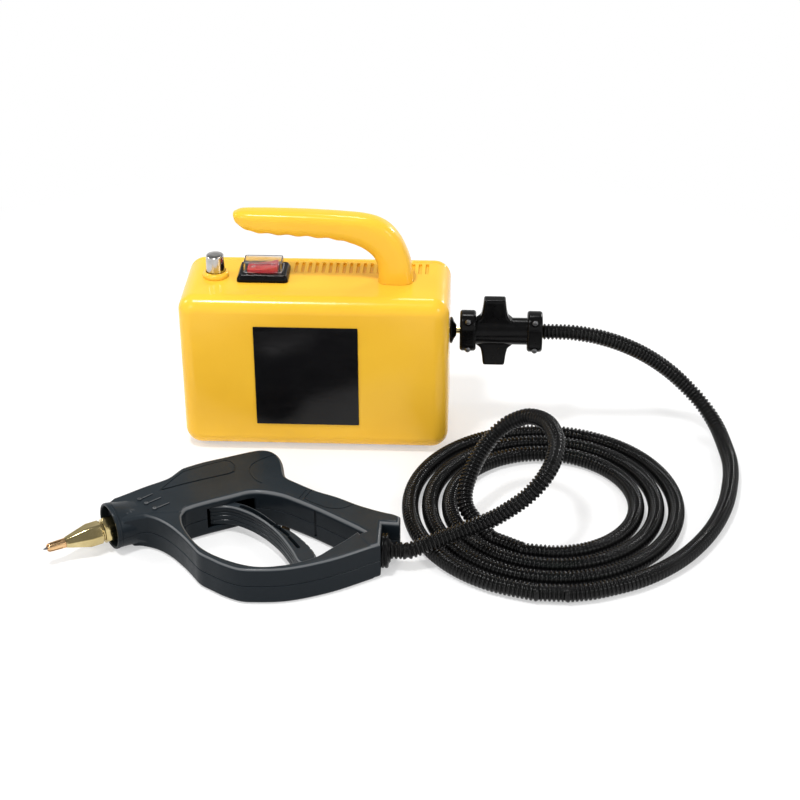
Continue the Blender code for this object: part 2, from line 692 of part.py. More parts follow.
def make_housing(base):
    outer = housing_rings(0, SEAM_Y, BOX_EDGE_RADIUS, 0)
    inner = housing_rings(BOX_WALL, SEAM_Y, BOX_EDGE_RADIUS - BOX_WALL, BOX_WALL)
    tub = skin("housing_shell", outer + inner[::-1])
    shell = add_object("housing_shell", tub, YELLOW_PLASTIC, base)

    post_end = SEAM_Y - LIP_LENGTH - FIT_GAP
    post = turned("shell_post", ((POST_RADIUS, BOX_WALL / 2), (POST_RADIUS, post_end)), sides=10)
    for x, z in post_places():
        shape_with(shell, add_cutter("shell_post", post, base, (x, 0, z), ALONG_Y), "UNION")

    cuts = []
    slot_back = SEAM_Y - SLOT_BACK_INSET
    slot = box_mesh("slot", (-SLOT_WIDTH / 2, slot_back - SLOT_LENGTH, -BOX_WALL - CUT_OVERRUN),
                    (SLOT_WIDTH / 2, slot_back, CUT_OVERRUN))
    for index in range(SLOT_COUNT):
        cuts.append((slot, (SLOT_FIRST_X + index * SLOT_PITCH, 0, BOX_TOP)))
    neck_hole = turned("neck_hole", (
        (NECK_RADIUS + FIT_GAP, -BOX_WALL - CUT_OVERRUN),
        (NECK_RADIUS + FIT_GAP, CUT_OVERRUN)), sides=FINE_SIDES)
    cuts.append((neck_hole, (FILLER_X, FILLER_Y, BOX_TOP)))
    body_width, body_depth = switch_body_size()
    switch_hole = box_mesh("switch_hole", (
        -body_width / 2 - FIT_GAP, -body_depth / 2 - FIT_GAP, -BOX_WALL - CUT_OVERRUN), (
        body_width / 2 + FIT_GAP, body_depth / 2 + FIT_GAP, CUT_OVERRUN))
    cuts.append((switch_hole, (SWITCH_X, SWITCH_Y, BOX_TOP)))
    screw_hole = turned("handle_screw_hole", (
        (HANDLE_SCREW_SHANK + FIT_GAP, -BOX_WALL - CUT_OVERRUN),
        (HANDLE_SCREW_SHANK + FIT_GAP, CUT_OVERRUN)), sides=12)
    for side in (-1, 1):
        cuts.append((screw_hole, (HANDLE_FOOT_X + side * HANDLE_SCREW_SPREAD / 2, BOX_MIDDLE_Y, BOX_TOP)))
    top_cuts = add_cutter("top_cuts", joined_mesh("top_cuts", cuts), base)
    shape_with(shell, top_cuts)

    outlet_hole = turned("outlet_hole", (
        (OUTLET_THREAD_RADIUS + FIT_GAP, -BOX_WALL - CUT_OVERRUN),
        (OUTLET_THREAD_RADIUS + FIT_GAP, CUT_OVERRUN)))
    shape_with(shell, add_cutter(
        "outlet_hole", outlet_hole, base, (OUTLET_FACE_X, BOX_MIDDLE_Y, OUTLET_Z), ALONG_X))
    pilot = turned("cover_pilot", (
        (COVER_SCREW_SHANK + FIT_GAP, post_end - PILOT_DEPTH),
        (COVER_SCREW_SHANK + FIT_GAP, post_end + CUT_OVERRUN)), sides=8)
    for x, z in post_places():
        shape_with(shell, add_cutter("cover_pilot", pilot, base, (x, 0, z), ALONG_Y))


def make_rear_cover(base):
    rim = SEAM_Y + FIT_GAP
    lip = BOX_WALL + FIT_GAP
    rings = []
    for step in range(ROUND_STEPS + 2):
        angle = math.pi / 2 * step / (ROUND_STEPS + 1)
        drawn_in = COVER_EDGE_RADIUS * (1 - math.sin(angle))
        rings.append(housing_ring(drawn_in, BOX_DEPTH - COVER_EDGE_RADIUS * (1 - math.cos(angle))))
    rings.append(housing_ring(0, rim))
    rings.append(housing_ring(lip, rim))
    rings.append(housing_ring(lip, SEAM_Y - LIP_LENGTH))
    rings.append(housing_ring(lip + LIP_WALL, SEAM_Y - LIP_LENGTH))
    rings.append(housing_ring(lip + LIP_WALL, BOX_DEPTH - BOX_WALL))
    cover = add_object("rear_cover", skin("rear_cover", rings), YELLOW_PLASTIC, base)

    post = turned("cover_post", (
        (POST_RADIUS, SEAM_Y - LIP_LENGTH), (POST_RADIUS, BOX_DEPTH - BOX_WALL / 2)), sides=10)
    hole = turned("cover_hole", (
        (COVER_SCREW_SHANK + FIT_GAP, 0), (COVER_SCREW_SHANK + FIT_GAP, BOX_DEPTH + CUT_OVERRUN)), sides=8)
    sink = turned("cover_sink", (
        (COVER_SCREW_HEAD + FIT_GAP, BOX_DEPTH - COVER_SCREW_HEAD_HEIGHT - FIT_GAP),
        (COVER_SCREW_HEAD + FIT_GAP, BOX_DEPTH + CUT_OVERRUN)), sides=10)
    for x, z in post_places():
        shape_with(cover, add_cutter("cover_post", post, base, (x, 0, z), ALONG_Y), "UNION")
    for x, z in post_places():
        shape_with(cover, add_cutter("cover_hole", hole, base, (x, 0, z), ALONG_Y))
        shape_with(cover, add_cutter("cover_sink", sink, base, (x, 0, z), ALONG_Y))
    inlet_hole = turned("inlet_hole", (
        (INLET_NECK_RADIUS + FIT_GAP, -BOX_WALL - CUT_OVERRUN),
        (INLET_NECK_RADIUS + FIT_GAP, CUT_OVERRUN)))
    shape_with(cover, add_cutter("inlet_hole", inlet_hole, base, (INLET_X, BOX_DEPTH, INLET_Z), ALONG_Y))

    length = COVER_DEPTH + LIP_LENGTH + PILOT_DEPTH - COVER_SCREW_HEAD_HEIGHT
    for index, (x, z) in enumerate(post_places()):
        name = f"cover_screw_{index + 1}"
        screw = screw_mesh(name, COVER_SCREW_SHANK, length, COVER_SCREW_HEAD, COVER_SCREW_HEAD_HEIGHT)
        add_object(name, screw, STEEL, base, (x, BOX_DEPTH, z), ALONG_Y)


def make_feet(base):
    foot = (
        (FOOT_RADIUS * 0.85, 0),
        (FOOT_RADIUS, FOOT_HEIGHT / 3),
        (FOOT_RADIUS, FOOT_HEIGHT - FIT_GAP),
    )
    places = {
        "foot_front_left": (-1, FOOT_INSET_Y),
        "foot_front_right": (1, FOOT_INSET_Y),
        "foot_rear_left": (-1, SEAM_Y - FOOT_INSET_Y),
        "foot_rear_right": (1, SEAM_Y - FOOT_INSET_Y),
    }
    for name, (side, y) in places.items():
        place = (side * (BOX_WIDTH / 2 - FOOT_INSET_X), y, 0)
        add_object(name, turned(name, foot), BLACK_RUBBER, base, place)


def make_label_plate(base):
    outline = rounded_rectangle(PLATE_WIDTH, PLATE_HEIGHT, PLATE_CORNER)
    rings = [
        [(x, y, z) for x, z in outline]
        for y in (-FIT_GAP - PLATE_THICKNESS, -FIT_GAP)
    ]
    plate = skin("label_plate", rings)
    add_object("label_plate", plate, BLACK_PLASTIC, base, (PLATE_OFFSET_X, 0, PLATE_MIDDLE_Z))


# Filler

def make_filler(base):
    axis = (FILLER_X, FILLER_Y, 0)
    top = BOX_TOP + COLLAR_HEIGHT
    bore = NECK_RADIUS + FIT_GAP
    collar = turned("filler_collar", (
        (bore, BOX_TOP + FIT_GAP),
        (COLLAR_RADIUS, BOX_TOP + FIT_GAP),
        (COLLAR_RADIUS, BOX_TOP + COLLAR_HEIGHT * 0.6),
        ((COLLAR_RADIUS + bore) / 2, top),
        (bore, top),
    ), sides=FINE_SIDES, bored=True)
    add_object("filler_collar", collar, YELLOW_PLASTIC, base, axis)

    tank_top = TANK_AXIS_Z + TANK_RADIUS
    spigot = NECK_BORE + BOX_WALL / 2
    neck = turned("filler_neck", (
        (NECK_BORE, tank_top - TANK_WALL),
        (spigot, tank_top - TANK_WALL),
        (spigot, tank_top + FIT_GAP),
        (NECK_RADIUS, tank_top + FIT_GAP),
        (NECK_RADIUS, top),
        (NECK_BORE, top),
    ), sides=SMALL_SIDES, bored=True)
    add_object("filler_neck", neck, BRASS, base, axis)

    seal_low = top + FIT_GAP
    seal_high = seal_low + SEAL_HEIGHT
    seal = turned("filler_seal", (
        (NECK_BORE, seal_low),
        (SEAL_RADIUS, seal_low),
        (SEAL_RADIUS, seal_high),
        (NECK_BORE, seal_high),
    ), sides=SMALL_SIDES, bored=True)
    add_object("filler_seal", seal, RED_SILICONE, base, axis)

    low = seal_high + FIT_GAP
    spigot_radius = NECK_BORE - FIT_GAP
    cap = turned("filler_cap", (
        (spigot_radius, low - CAP_SPIGOT_LENGTH),
        (spigot_radius, low),
        (CAP_RADIUS - CAP_EDGE / 2, low),
        (CAP_RADIUS, low + CAP_EDGE / 2),
        (CAP_RADIUS, low + CAP_HEIGHT - CAP_EDGE),
        (CAP_RADIUS - CAP_EDGE, low + CAP_HEIGHT),
    ), sides=FINE_SIDES)
    add_object("filler_cap", cap, CHROME, base, axis)


# Switch

def switch_body_size():
    """Width and depth of the body that drops through the housing's top."""
    return FRAME_WIDTH - 2 * FRAME_BORDER, FRAME_DEPTH - 2 * FRAME_BORDER


def make_switch(base):
    top = BOX_TOP + FIT_GAP
    place = (SWITCH_X, SWITCH_Y, top)
    body_width, body_depth = switch_body_size()
    opening_width = body_width - 2 * SWITCH_BODY_WALL
    opening_depth = body_depth - 2 * SWITCH_BODY_WALL

    def rings_at(levels):
        return [[(x, y, level) for x, y in rounded_rectangle(width, depth, corner)]
                for width, depth, corner, level in levels]

    frame_corner = FRAME_CORNER
    inner_corner = FRAME_CORNER / 3
    frame = skin("switch_frame", rings_at((
        (opening_width, opening_depth, inner_corner, 0),
        (FRAME_WIDTH, FRAME_DEPTH, frame_corner, 0),
        (FRAME_WIDTH, FRAME_DEPTH, frame_corner, FRAME_HEIGHT / 3),
        (FRAME_WIDTH - 2 * FRAME_SLOPE, FRAME_DEPTH - 2 * FRAME_SLOPE, frame_corner, FRAME_HEIGHT),
        (opening_width, opening_depth, inner_corner, FRAME_HEIGHT),
    )), closed_tube=True)
    add_object("switch_frame", frame, BLACK_PLASTIC, base, place)

    pivot = FRAME_HEIGHT - ROCKER_SINK
    pocket_floor = pivot - ROCKER_HUB - FIT_GAP
    body = skin("switch_body", rings_at((
        (body_width, body_depth, inner_corner, -SWITCH_BODY_DROP),
        (body_width, body_depth, inner_corner, -FIT_GAP),
        (opening_width, opening_depth, inner_corner, -FIT_GAP),
        (opening_width, opening_depth, inner_corner, min(pocket_floor, -2 * FIT_GAP)),
    )))
    add_object("switch_body", body, GREY_PLASTIC, base, place)

    half = ROCKER_LENGTH / 2
    profile = [(half, 0), (half, ROCKER_CROWN), (0, ROCKER_CROWN - ROCKER_DIP), (-half, ROCKER_CROWN), (-half, 0)]
    hub = ROCKER_HUB
    for step in range(5):
        angle = math.pi * (1.15 + 0.70 * step / 4)
        profile.append((hub * math.cos(angle), hub * math.sin(angle)))
    turned_profile = [
        (x * math.cos(ROCKER_ANGLE) - z * math.sin(ROCKER_ANGLE),
         x * math.sin(ROCKER_ANGLE) + z * math.cos(ROCKER_ANGLE))
        for x, z in profile
    ]
    rocker = skin("rocker", [
        [(x, y, z) for x, z in turned_profile] for y in (-ROCKER_WIDTH / 2, ROCKER_WIDTH / 2)
    ])
    axle = (SWITCH_X, SWITCH_Y, top + pivot)
    tilting = add_object("rocker", rocker, RED_PLASTIC, base, axle)
    pin_reach = opening_depth / 2 - FIT_GAP
    pins = turned("rocker_pins", ((ROCKER_PIN, -pin_reach), (ROCKER_PIN, pin_reach)), sides=10)
    shape_with(tilting, add_cutter("rocker_pins", pins, base, axle, ALONG_Y), "UNION")

    boot_low = FRAME_HEIGHT + FIT_GAP
    boot_high = boot_low + BOOT_HEIGHT
    wall = BOOT_WALL
    boot = skin("switch_boot", rings_at((
        (BOOT_WIDTH - 2 * BOOT_DRAFT, BOOT_DEPTH - 2 * BOOT_DRAFT, frame_corner / 2, boot_high),
        (BOOT_WIDTH, BOOT_DEPTH, frame_corner / 2, boot_low),
        (BOOT_WIDTH - 2 * wall, BOOT_DEPTH - 2 * wall, frame_corner / 3, boot_low),
        (BOOT_WIDTH - 2 * wall - 2 * BOOT_DRAFT, BOOT_DEPTH - 2 * wall - 2 * BOOT_DRAFT,
         frame_corner / 3, boot_high - wall),
    )))
    add_object("switch_boot", boot, CLEAR_SILICONE, base, place)


# Carrying handle

def make_handle(base):
    foot_z = BOX_TOP + FIT_GAP

    def place(share):
        return Vector((HANDLE_FOOT_X - share[0] * HANDLE_REACH, foot_z + share[1] * HANDLE_RISE))

    rings = []
    for index, (upper, lower) in enumerate(HANDLE_EDGE_SHARES):
        top = place(upper)
        bottom = place(lower)
        if HANDLE_WAVE_FROM < index < HANDLE_WAVE_TO and index % 2:
            bottom += (top - bottom).normalized() * HANDLE_GRIP_WAVE
        middle = (top + bottom) / 2
        half_height = (top - bottom) / 2
        half_depth = HANDLE_DEPTH / 2 * HANDLE_DEPTH_SHARES[index]
        ring = []
        for side in range(HANDLE_SIDES):
            angle = 2 * math.pi * (side + 0.5) / HANDLE_SIDES
            rise = math.copysign(abs(math.sin(angle)) ** 0.7, math.sin(angle))
            out = math.copysign(abs(math.cos(angle)) ** 0.7, math.cos(angle))
            spot = middle + half_height * rise
            ring.append((spot.x, BOX_MIDDLE_Y + half_depth * out, spot.y))
        rings.append(ring)
    handle = add_object("handle", skin("handle", rings), YELLOW_PLASTIC, base)

    hole_depth = HANDLE_SCREW_LENGTH
    hole = turned("handle_hole", (
        (HANDLE_SCREW_SHANK + FIT_GAP, -CUT_OVERRUN),
        (HANDLE_SCREW_SHANK + FIT_GAP, hole_depth)), sides=12)
    head_z = BOX_TOP - BOX_WALL - HANDLE_SCREW_HEAD_HEIGHT - FIT_GAP
    for name, side in (("handle_screw_left", -1), ("handle_screw_right", 1)):
        x = HANDLE_FOOT_X + side * HANDLE_SCREW_SPREAD / 2
        shape_with(handle, add_cutter("handle_hole", hole, base, (x, BOX_MIDDLE_Y, foot_z)))
        screw = screw_mesh(name, HANDLE_SCREW_SHANK, HANDLE_SCREW_LENGTH, HANDLE_SCREW_HEAD,
                           HANDLE_SCREW_HEAD_HEIGHT)
        add_object(name, screw, STEEL, base, (x, BOX_MIDDLE_Y, head_z), UPSIDE_DOWN)


# Boiler

def make_boiler(base):
    length = TANK_RIGHT_X - TANK_LEFT_X
    inner = TANK_RADIUS - TANK_WALL
    tank = turned("boiler_tank", (
        (inner / 2, TANK_WALL),
        (inner * 0.87, TANK_WALL + TANK_DOME * 0.5),
        (inner, TANK_DOME + TANK_WALL),
        (inner, length),
        (TANK_RIM_RADIUS, length),
        (TANK_RIM_RADIUS, length - TANK_RIM_LENGTH),
        (TANK_RADIUS, length - TANK_RIM_LENGTH),
        (TANK_RADIUS, TANK_DOME),
        (TANK_RADIUS * 0.87, TANK_DOME * 0.4),
        (TANK_RADIUS / 2, 0),
    ), sides=FINE_SIDES)
    axis_place = (TANK_LEFT_X, BOX_MIDDLE_Y, TANK_AXIS_Z)
    boiler = add_object("boiler_tank", tank, ALUMINIUM, base, axis_place, ALONG_X)

    tank_top = TANK_AXIS_Z + TANK_RADIUS
    neck_port = turned("neck_port", (
        (NECK_BORE + BOX_WALL / 2 + FIT_GAP, -2 * TANK_WALL), (NECK_BORE + BOX_WALL / 2 + FIT_GAP, CUT_OVERRUN)),
        sides=FINE_SIDES)
    shape_with(boiler, add_cutter("neck_port", neck_port, base, (FILLER_X, FILLER_Y, tank_top)))
    steam_port = turned("steam_port", (
        (STEAM_PIPE_RADIUS + FIT_GAP, -2 * TANK_WALL), (STEAM_PIPE_RADIUS + FIT_GAP, CUT_OVERRUN)), sides=12)
    shape_with(boiler, add_cutter("steam_port", steam_port, base, (STEAM_PORT_X, BOX_MIDDLE_Y, tank_top)))

    gasket_x = TANK_RIGHT_X + FIT_GAP
    gasket = turned("boiler_gasket", (
        (inner, 0), (TANK_RIM_RADIUS, 0), (TANK_RIM_RADIUS, GASKET_THICKNESS), (inner, GASKET_THICKNESS)),
        sides=FINE_SIDES, bored=True)
    add_object("boiler_gasket", gasket, RED_SILICONE, base, (gasket_x, BOX_MIDDLE_Y, TANK_AXIS_Z), ALONG_X)

    flange_x = gasket_x + GASKET_THICKNESS + FIT_GAP
    flange = turned("heater_flange", (
        (TANK_RIM_RADIUS, 0), (TANK_RIM_RADIUS, HEATER_FLANGE_THICKNESS)), sides=FINE_SIDES)
    plate = add_object("heater_flange", flange, STEEL, base, (flange_x, BOX_MIDDLE_Y, TANK_AXIS_Z), ALONG_X)
    rod_hole = turned("rod_hole", (
        (HEATER_ROD_RADIUS + FIT_GAP, -CUT_OVERRUN),
        (HEATER_ROD_RADIUS + FIT_GAP, HEATER_FLANGE_THICKNESS + CUT_OVERRUN)), sides=12)
    half_spread = HEATER_ROD_SPREAD / 2
    for side in (-1, 1):
        place = (flange_x, BOX_MIDDLE_Y + side * half_spread, TANK_AXIS_Z)
        shape_with(plate, add_cutter("rod_hole", rod_hole, base, place, ALONG_X))

    end_x = flange_x + HEATER_FLANGE_THICKNESS + HEATER_TERMINAL
    bend_x = flange_x - HEATER_ROD_REACH
    route = [(end_x, -half_spread, 0), (bend_x, -half_spread, 0)]
    for step in range(1, 6):
        angle = math.pi / 2 + math.pi * step / 6
        route.append((bend_x + half_spread * math.cos(angle), -half_spread * math.sin(angle), 0))
    route.append((bend_x, half_spread, 0))
    route.append((end_x, half_spread, 0))
    element = pipe_mesh("heating_element", [Vector(point) for point in route], HEATER_ROD_RADIUS, 8)
    add_object("heating_element", element, COPPER, base, (0, BOX_MIDDLE_Y, TANK_AXIS_Z))

    saddle_low = BOX_BOTTOM + BOX_WALL + FIT_GAP - TANK_AXIS_Z
    seat = TANK_RADIUS + FIT_GAP
    arc_end_y = seat * math.sin(SADDLE_ARC_HALF)
    arc_end_z = -seat * math.cos(SADDLE_ARC_HALF)
    outline = [(-SADDLE_WIDTH / 2, saddle_low), (SADDLE_WIDTH / 2, saddle_low),
               (SADDLE_WIDTH / 2, saddle_low + SADDLE_FOOT), (arc_end_y, arc_end_z)]
    for step in range(1, 8):
        angle = SADDLE_ARC_HALF * (1 - step / 4)
        outline.append((seat * math.sin(angle), -seat * math.cos(angle)))
    outline.append((-arc_end_y, arc_end_z))
    outline.append((-SADDLE_WIDTH / 2, saddle_low + SADDLE_FOOT))
    for name, x in (("boiler_saddle_left", SADDLE_LEFT_X), ("boiler_saddle_right", SADDLE_RIGHT_X)):
        rings = [[(across, y, z) for y, z in outline] for across in (-SADDLE_THICKNESS / 2, SADDLE_THICKNESS / 2)]
        add_object(name, skin(name, rings), STEEL, base, (x, BOX_MIDDLE_Y, TANK_AXIS_Z))

    disc = turned("thermostat", (
        (THERMOSTAT_RADIUS, 0),
        (THERMOSTAT_RADIUS, THERMOSTAT_HEIGHT * 0.6),
        (THERMOSTAT_RADIUS * 0.7, THERMOSTAT_HEIGHT * 0.6),
        (THERMOSTAT_RADIUS * 0.7, THERMOSTAT_HEIGHT),
    ))
    add_object("thermostat", disc, BLACK_PLASTIC, base, (THERMOSTAT_X, BOX_MIDDLE_Y, tank_top + FIT_GAP))


def pipe_mesh(name, route, radius, sides, shares=None):
    """A tube along a route, its ends flat, with an optional radius share at each point."""
    rings = []
    previous = None
    for index, point in enumerate(route):
        ahead = route[min(index + 1, len(route) - 1)] - point
        behind = point - route[max(index - 1, 0)]
        along = (ahead.normalized() + behind.normalized()).normalized()
        if previous is None:
            helper = Vector((0, 0, 1)) if abs(along.z) < 0.9 else Vector((1, 0, 0))
            side_way = along.cross(helper).normalized()
        else:
            side_way = (previous - along * previous.dot(along)).normalized()
        previous = side_way
        up_way = along.cross(side_way)
        share = shares[index] if shares else 1
        ring = []
        for side in range(sides):
            angle = 2 * math.pi * (side + 0.5) / sides
            ring.append(point + (side_way * math.cos(angle) + up_way * math.sin(angle)) * radius * share)
        rings.append(ring)
    return skin(name, rings)


def smooth_route(points, spacing):
    """Even points along a Catmull-Rom curve through the given ones, ends kept."""
    controls = [2 * points[0] - points[1]] + list(points) + [2 * points[-1] - points[-2]]
    fine = []
    parts = 12
    for index in range(1, len(controls) - 2):
        before, start, end, after = controls[index - 1:index + 3]
        for part in range(parts):
            t = part / parts
            fine.append(0.5 * ((2 * start) + (end - before) * t
                               + (2 * before - 5 * start + 4 * end - after) * t ** 2
                               + (3 * start - before - 3 * end + after) * t ** 3))
    fine.append(points[-1])
    travel = [0.0]
    for index in range(1, len(fine)):
        travel.append(travel[-1] + (fine[index] - fine[index - 1]).length)
    count = max(2, round(travel[-1] / spacing))
    even = []
    index = 0
    for step in range(count + 1):
        target = travel[-1] * step / count
        while index < len(fine) - 2 and travel[index + 1] < target:
            index += 1
        span = travel[index + 1] - travel[index]
        even.append(fine[index].lerp(fine[index + 1], (target - travel[index]) / span))
    return even


def make_steam_line(base):
    tank_top = TANK_AXIS_Z + TANK_RADIUS
    inside_x = OUTLET_FACE_X - BOX_WALL - OUTLET_FLANGE_LENGTH - OUTLET_TAIL_LENGTH - 2 * FIT_GAP
    rise_z = tank_top + STEAM_PIPE_RISE
    route = [
        Vector((STEAM_PORT_X, BOX_MIDDLE_Y, tank_top - TANK_WALL)),
        Vector((STEAM_PORT_X, BOX_MIDDLE_Y, tank_top + STEAM_PIPE_RISE / 3)),
        Vector((STEAM_PORT_X + STEAM_PIPE_RISE / 2, BOX_MIDDLE_Y, rise_z)),
        Vector(((STEAM_PORT_X + inside_x) / 2, BOX_MIDDLE_Y, rise_z)),
        Vector((inside_x - STEAM_PIPE_RISE, BOX_MIDDLE_Y, OUTLET_Z)),
        Vector((inside_x - STEAM_PIPE_RISE / 2, BOX_MIDDLE_Y, OUTLET_Z)),
        Vector((inside_x, BOX_MIDDLE_Y, OUTLET_Z)),
    ]
    pipe = pipe_mesh("steam_pipe", smooth_route(route, STEAM_PIPE_RADIUS * 2), STEAM_PIPE_RADIUS, 8)
    add_object("steam_pipe", pipe, COPPER, base)

    tail = -BOX_WALL - OUTLET_FLANGE_LENGTH - OUTLET_TAIL_LENGTH - FIT_GAP
    flange = -BOX_WALL - OUTLET_FLANGE_LENGTH - FIT_GAP
    fitting = turned("outlet_fitting", (
        (STUB_BORE, tail),
        (STUB_RADIUS, tail),
        (STUB_RADIUS, flange),
        (OUTLET_FLANGE_RADIUS, flange),
        (OUTLET_FLANGE_RADIUS, flange + OUTLET_FLANGE_LENGTH),
        (OUTLET_THREAD_RADIUS, flange + OUTLET_FLANGE_LENGTH),
        (OUTLET_THREAD_RADIUS, 0),
        (STUB_RADIUS, 0),
        (STUB_RADIUS, STUB_REACH),
        (STUB_BORE, STUB_REACH),
    ), bored=True)
    axis_place = (OUTLET_FACE_X, BOX_MIDDLE_Y, OUTLET_Z)
    add_object("outlet_fitting", fitting, BRASS, base, axis_place, ALONG_X)

    bore = STUB_RADIUS + FIT_GAP
    cone = turned("outlet_cone", (
        (bore, FIT_GAP),
        (CONE_RADIUS, FIT_GAP),
        (CONE_RADIUS, CONE_RIM),
        (CONE_TIP_RADIUS, CONE_LENGTH),
        (bore, CONE_LENGTH),
    ), sides=FINE_SIDES, bored=True)
    add_object("outlet_cone", cone, BLACK_PLASTIC, base, axis_place, ALONG_X)


def make_mains_inlet(base):
    inside = -BOX_WALL - FIT_GAP
    gland = turned("inlet_gland", (
        (INLET_BORE, inside - INLET_FLANGE_LENGTH),
        (INLET_FLANGE_RADIUS, inside - INLET_FLANGE_LENGTH),
        (INLET_FLANGE_RADIUS, inside),
        (INLET_NECK_RADIUS, inside),
        (INLET_NECK_RADIUS, INLET_REACH),
        (INLET_BORE, INLET_REACH),
    ), bored=True)
    place = (INLET_X, BOX_DEPTH, INLET_Z)
    add_object("inlet_gland", gland, BLACK_PLASTIC, base, place, ALONG_Y)


# Hose coupling

def coupling_block(name, start, length):
    """A collar: a rounded block across the axis, with softened edges."""
    rings = []
    for drawn_in, level in (
            (COLLAR_BLOCK_ROUND, start), (0, start + COLLAR_BLOCK_ROUND),
            (0, start + length - COLLAR_BLOCK_ROUND), (COLLAR_BLOCK_ROUND, start + length)):
        outline = rounded_rectangle(
            COLLAR_BLOCK_DEPTH - 2 * drawn_in, COLLAR_BLOCK_HEIGHT - 2 * drawn_in,
            COLLAR_BLOCK_CORNER - drawn_in)
        rings.append([(level, y, z) for y, z in outline])
    return skin(name, rings)


def coupling_wings(name):
    """The flat T bar: two wings in one slab, broad at the barrel."""
    middle = WING_OFFSET
    root = BARREL_RADIUS * 0.6
    waist = BARREL_RADIUS * 1.15
    outline = [
        (middle + WING_ROOT_HALF_WIDTH, root), (middle + WING_TIP_HALF_WIDTH * 1.15, waist + WING_ROUND),
        (middle + WING_TIP_HALF_WIDTH, WING_REACH), (middle - WING_TIP_HALF_WIDTH, WING_REACH),
        (middle - WING_TIP_HALF_WIDTH * 1.15, waist + WING_ROUND), (middle - WING_ROOT_HALF_WIDTH, root),
    ]
    outline += [(x, -z) for x, z in reversed(outline)]
    rings = []
    half = WING_THICKNESS / 2
    for drawn_in, level in ((WING_ROUND, -half), (0, WING_ROUND - half), (0, half - WING_ROUND), (WING_ROUND, half)):
        rings.append([(x, level, z) for x, z in inset(outline, drawn_in)])
    return skin(name, rings)


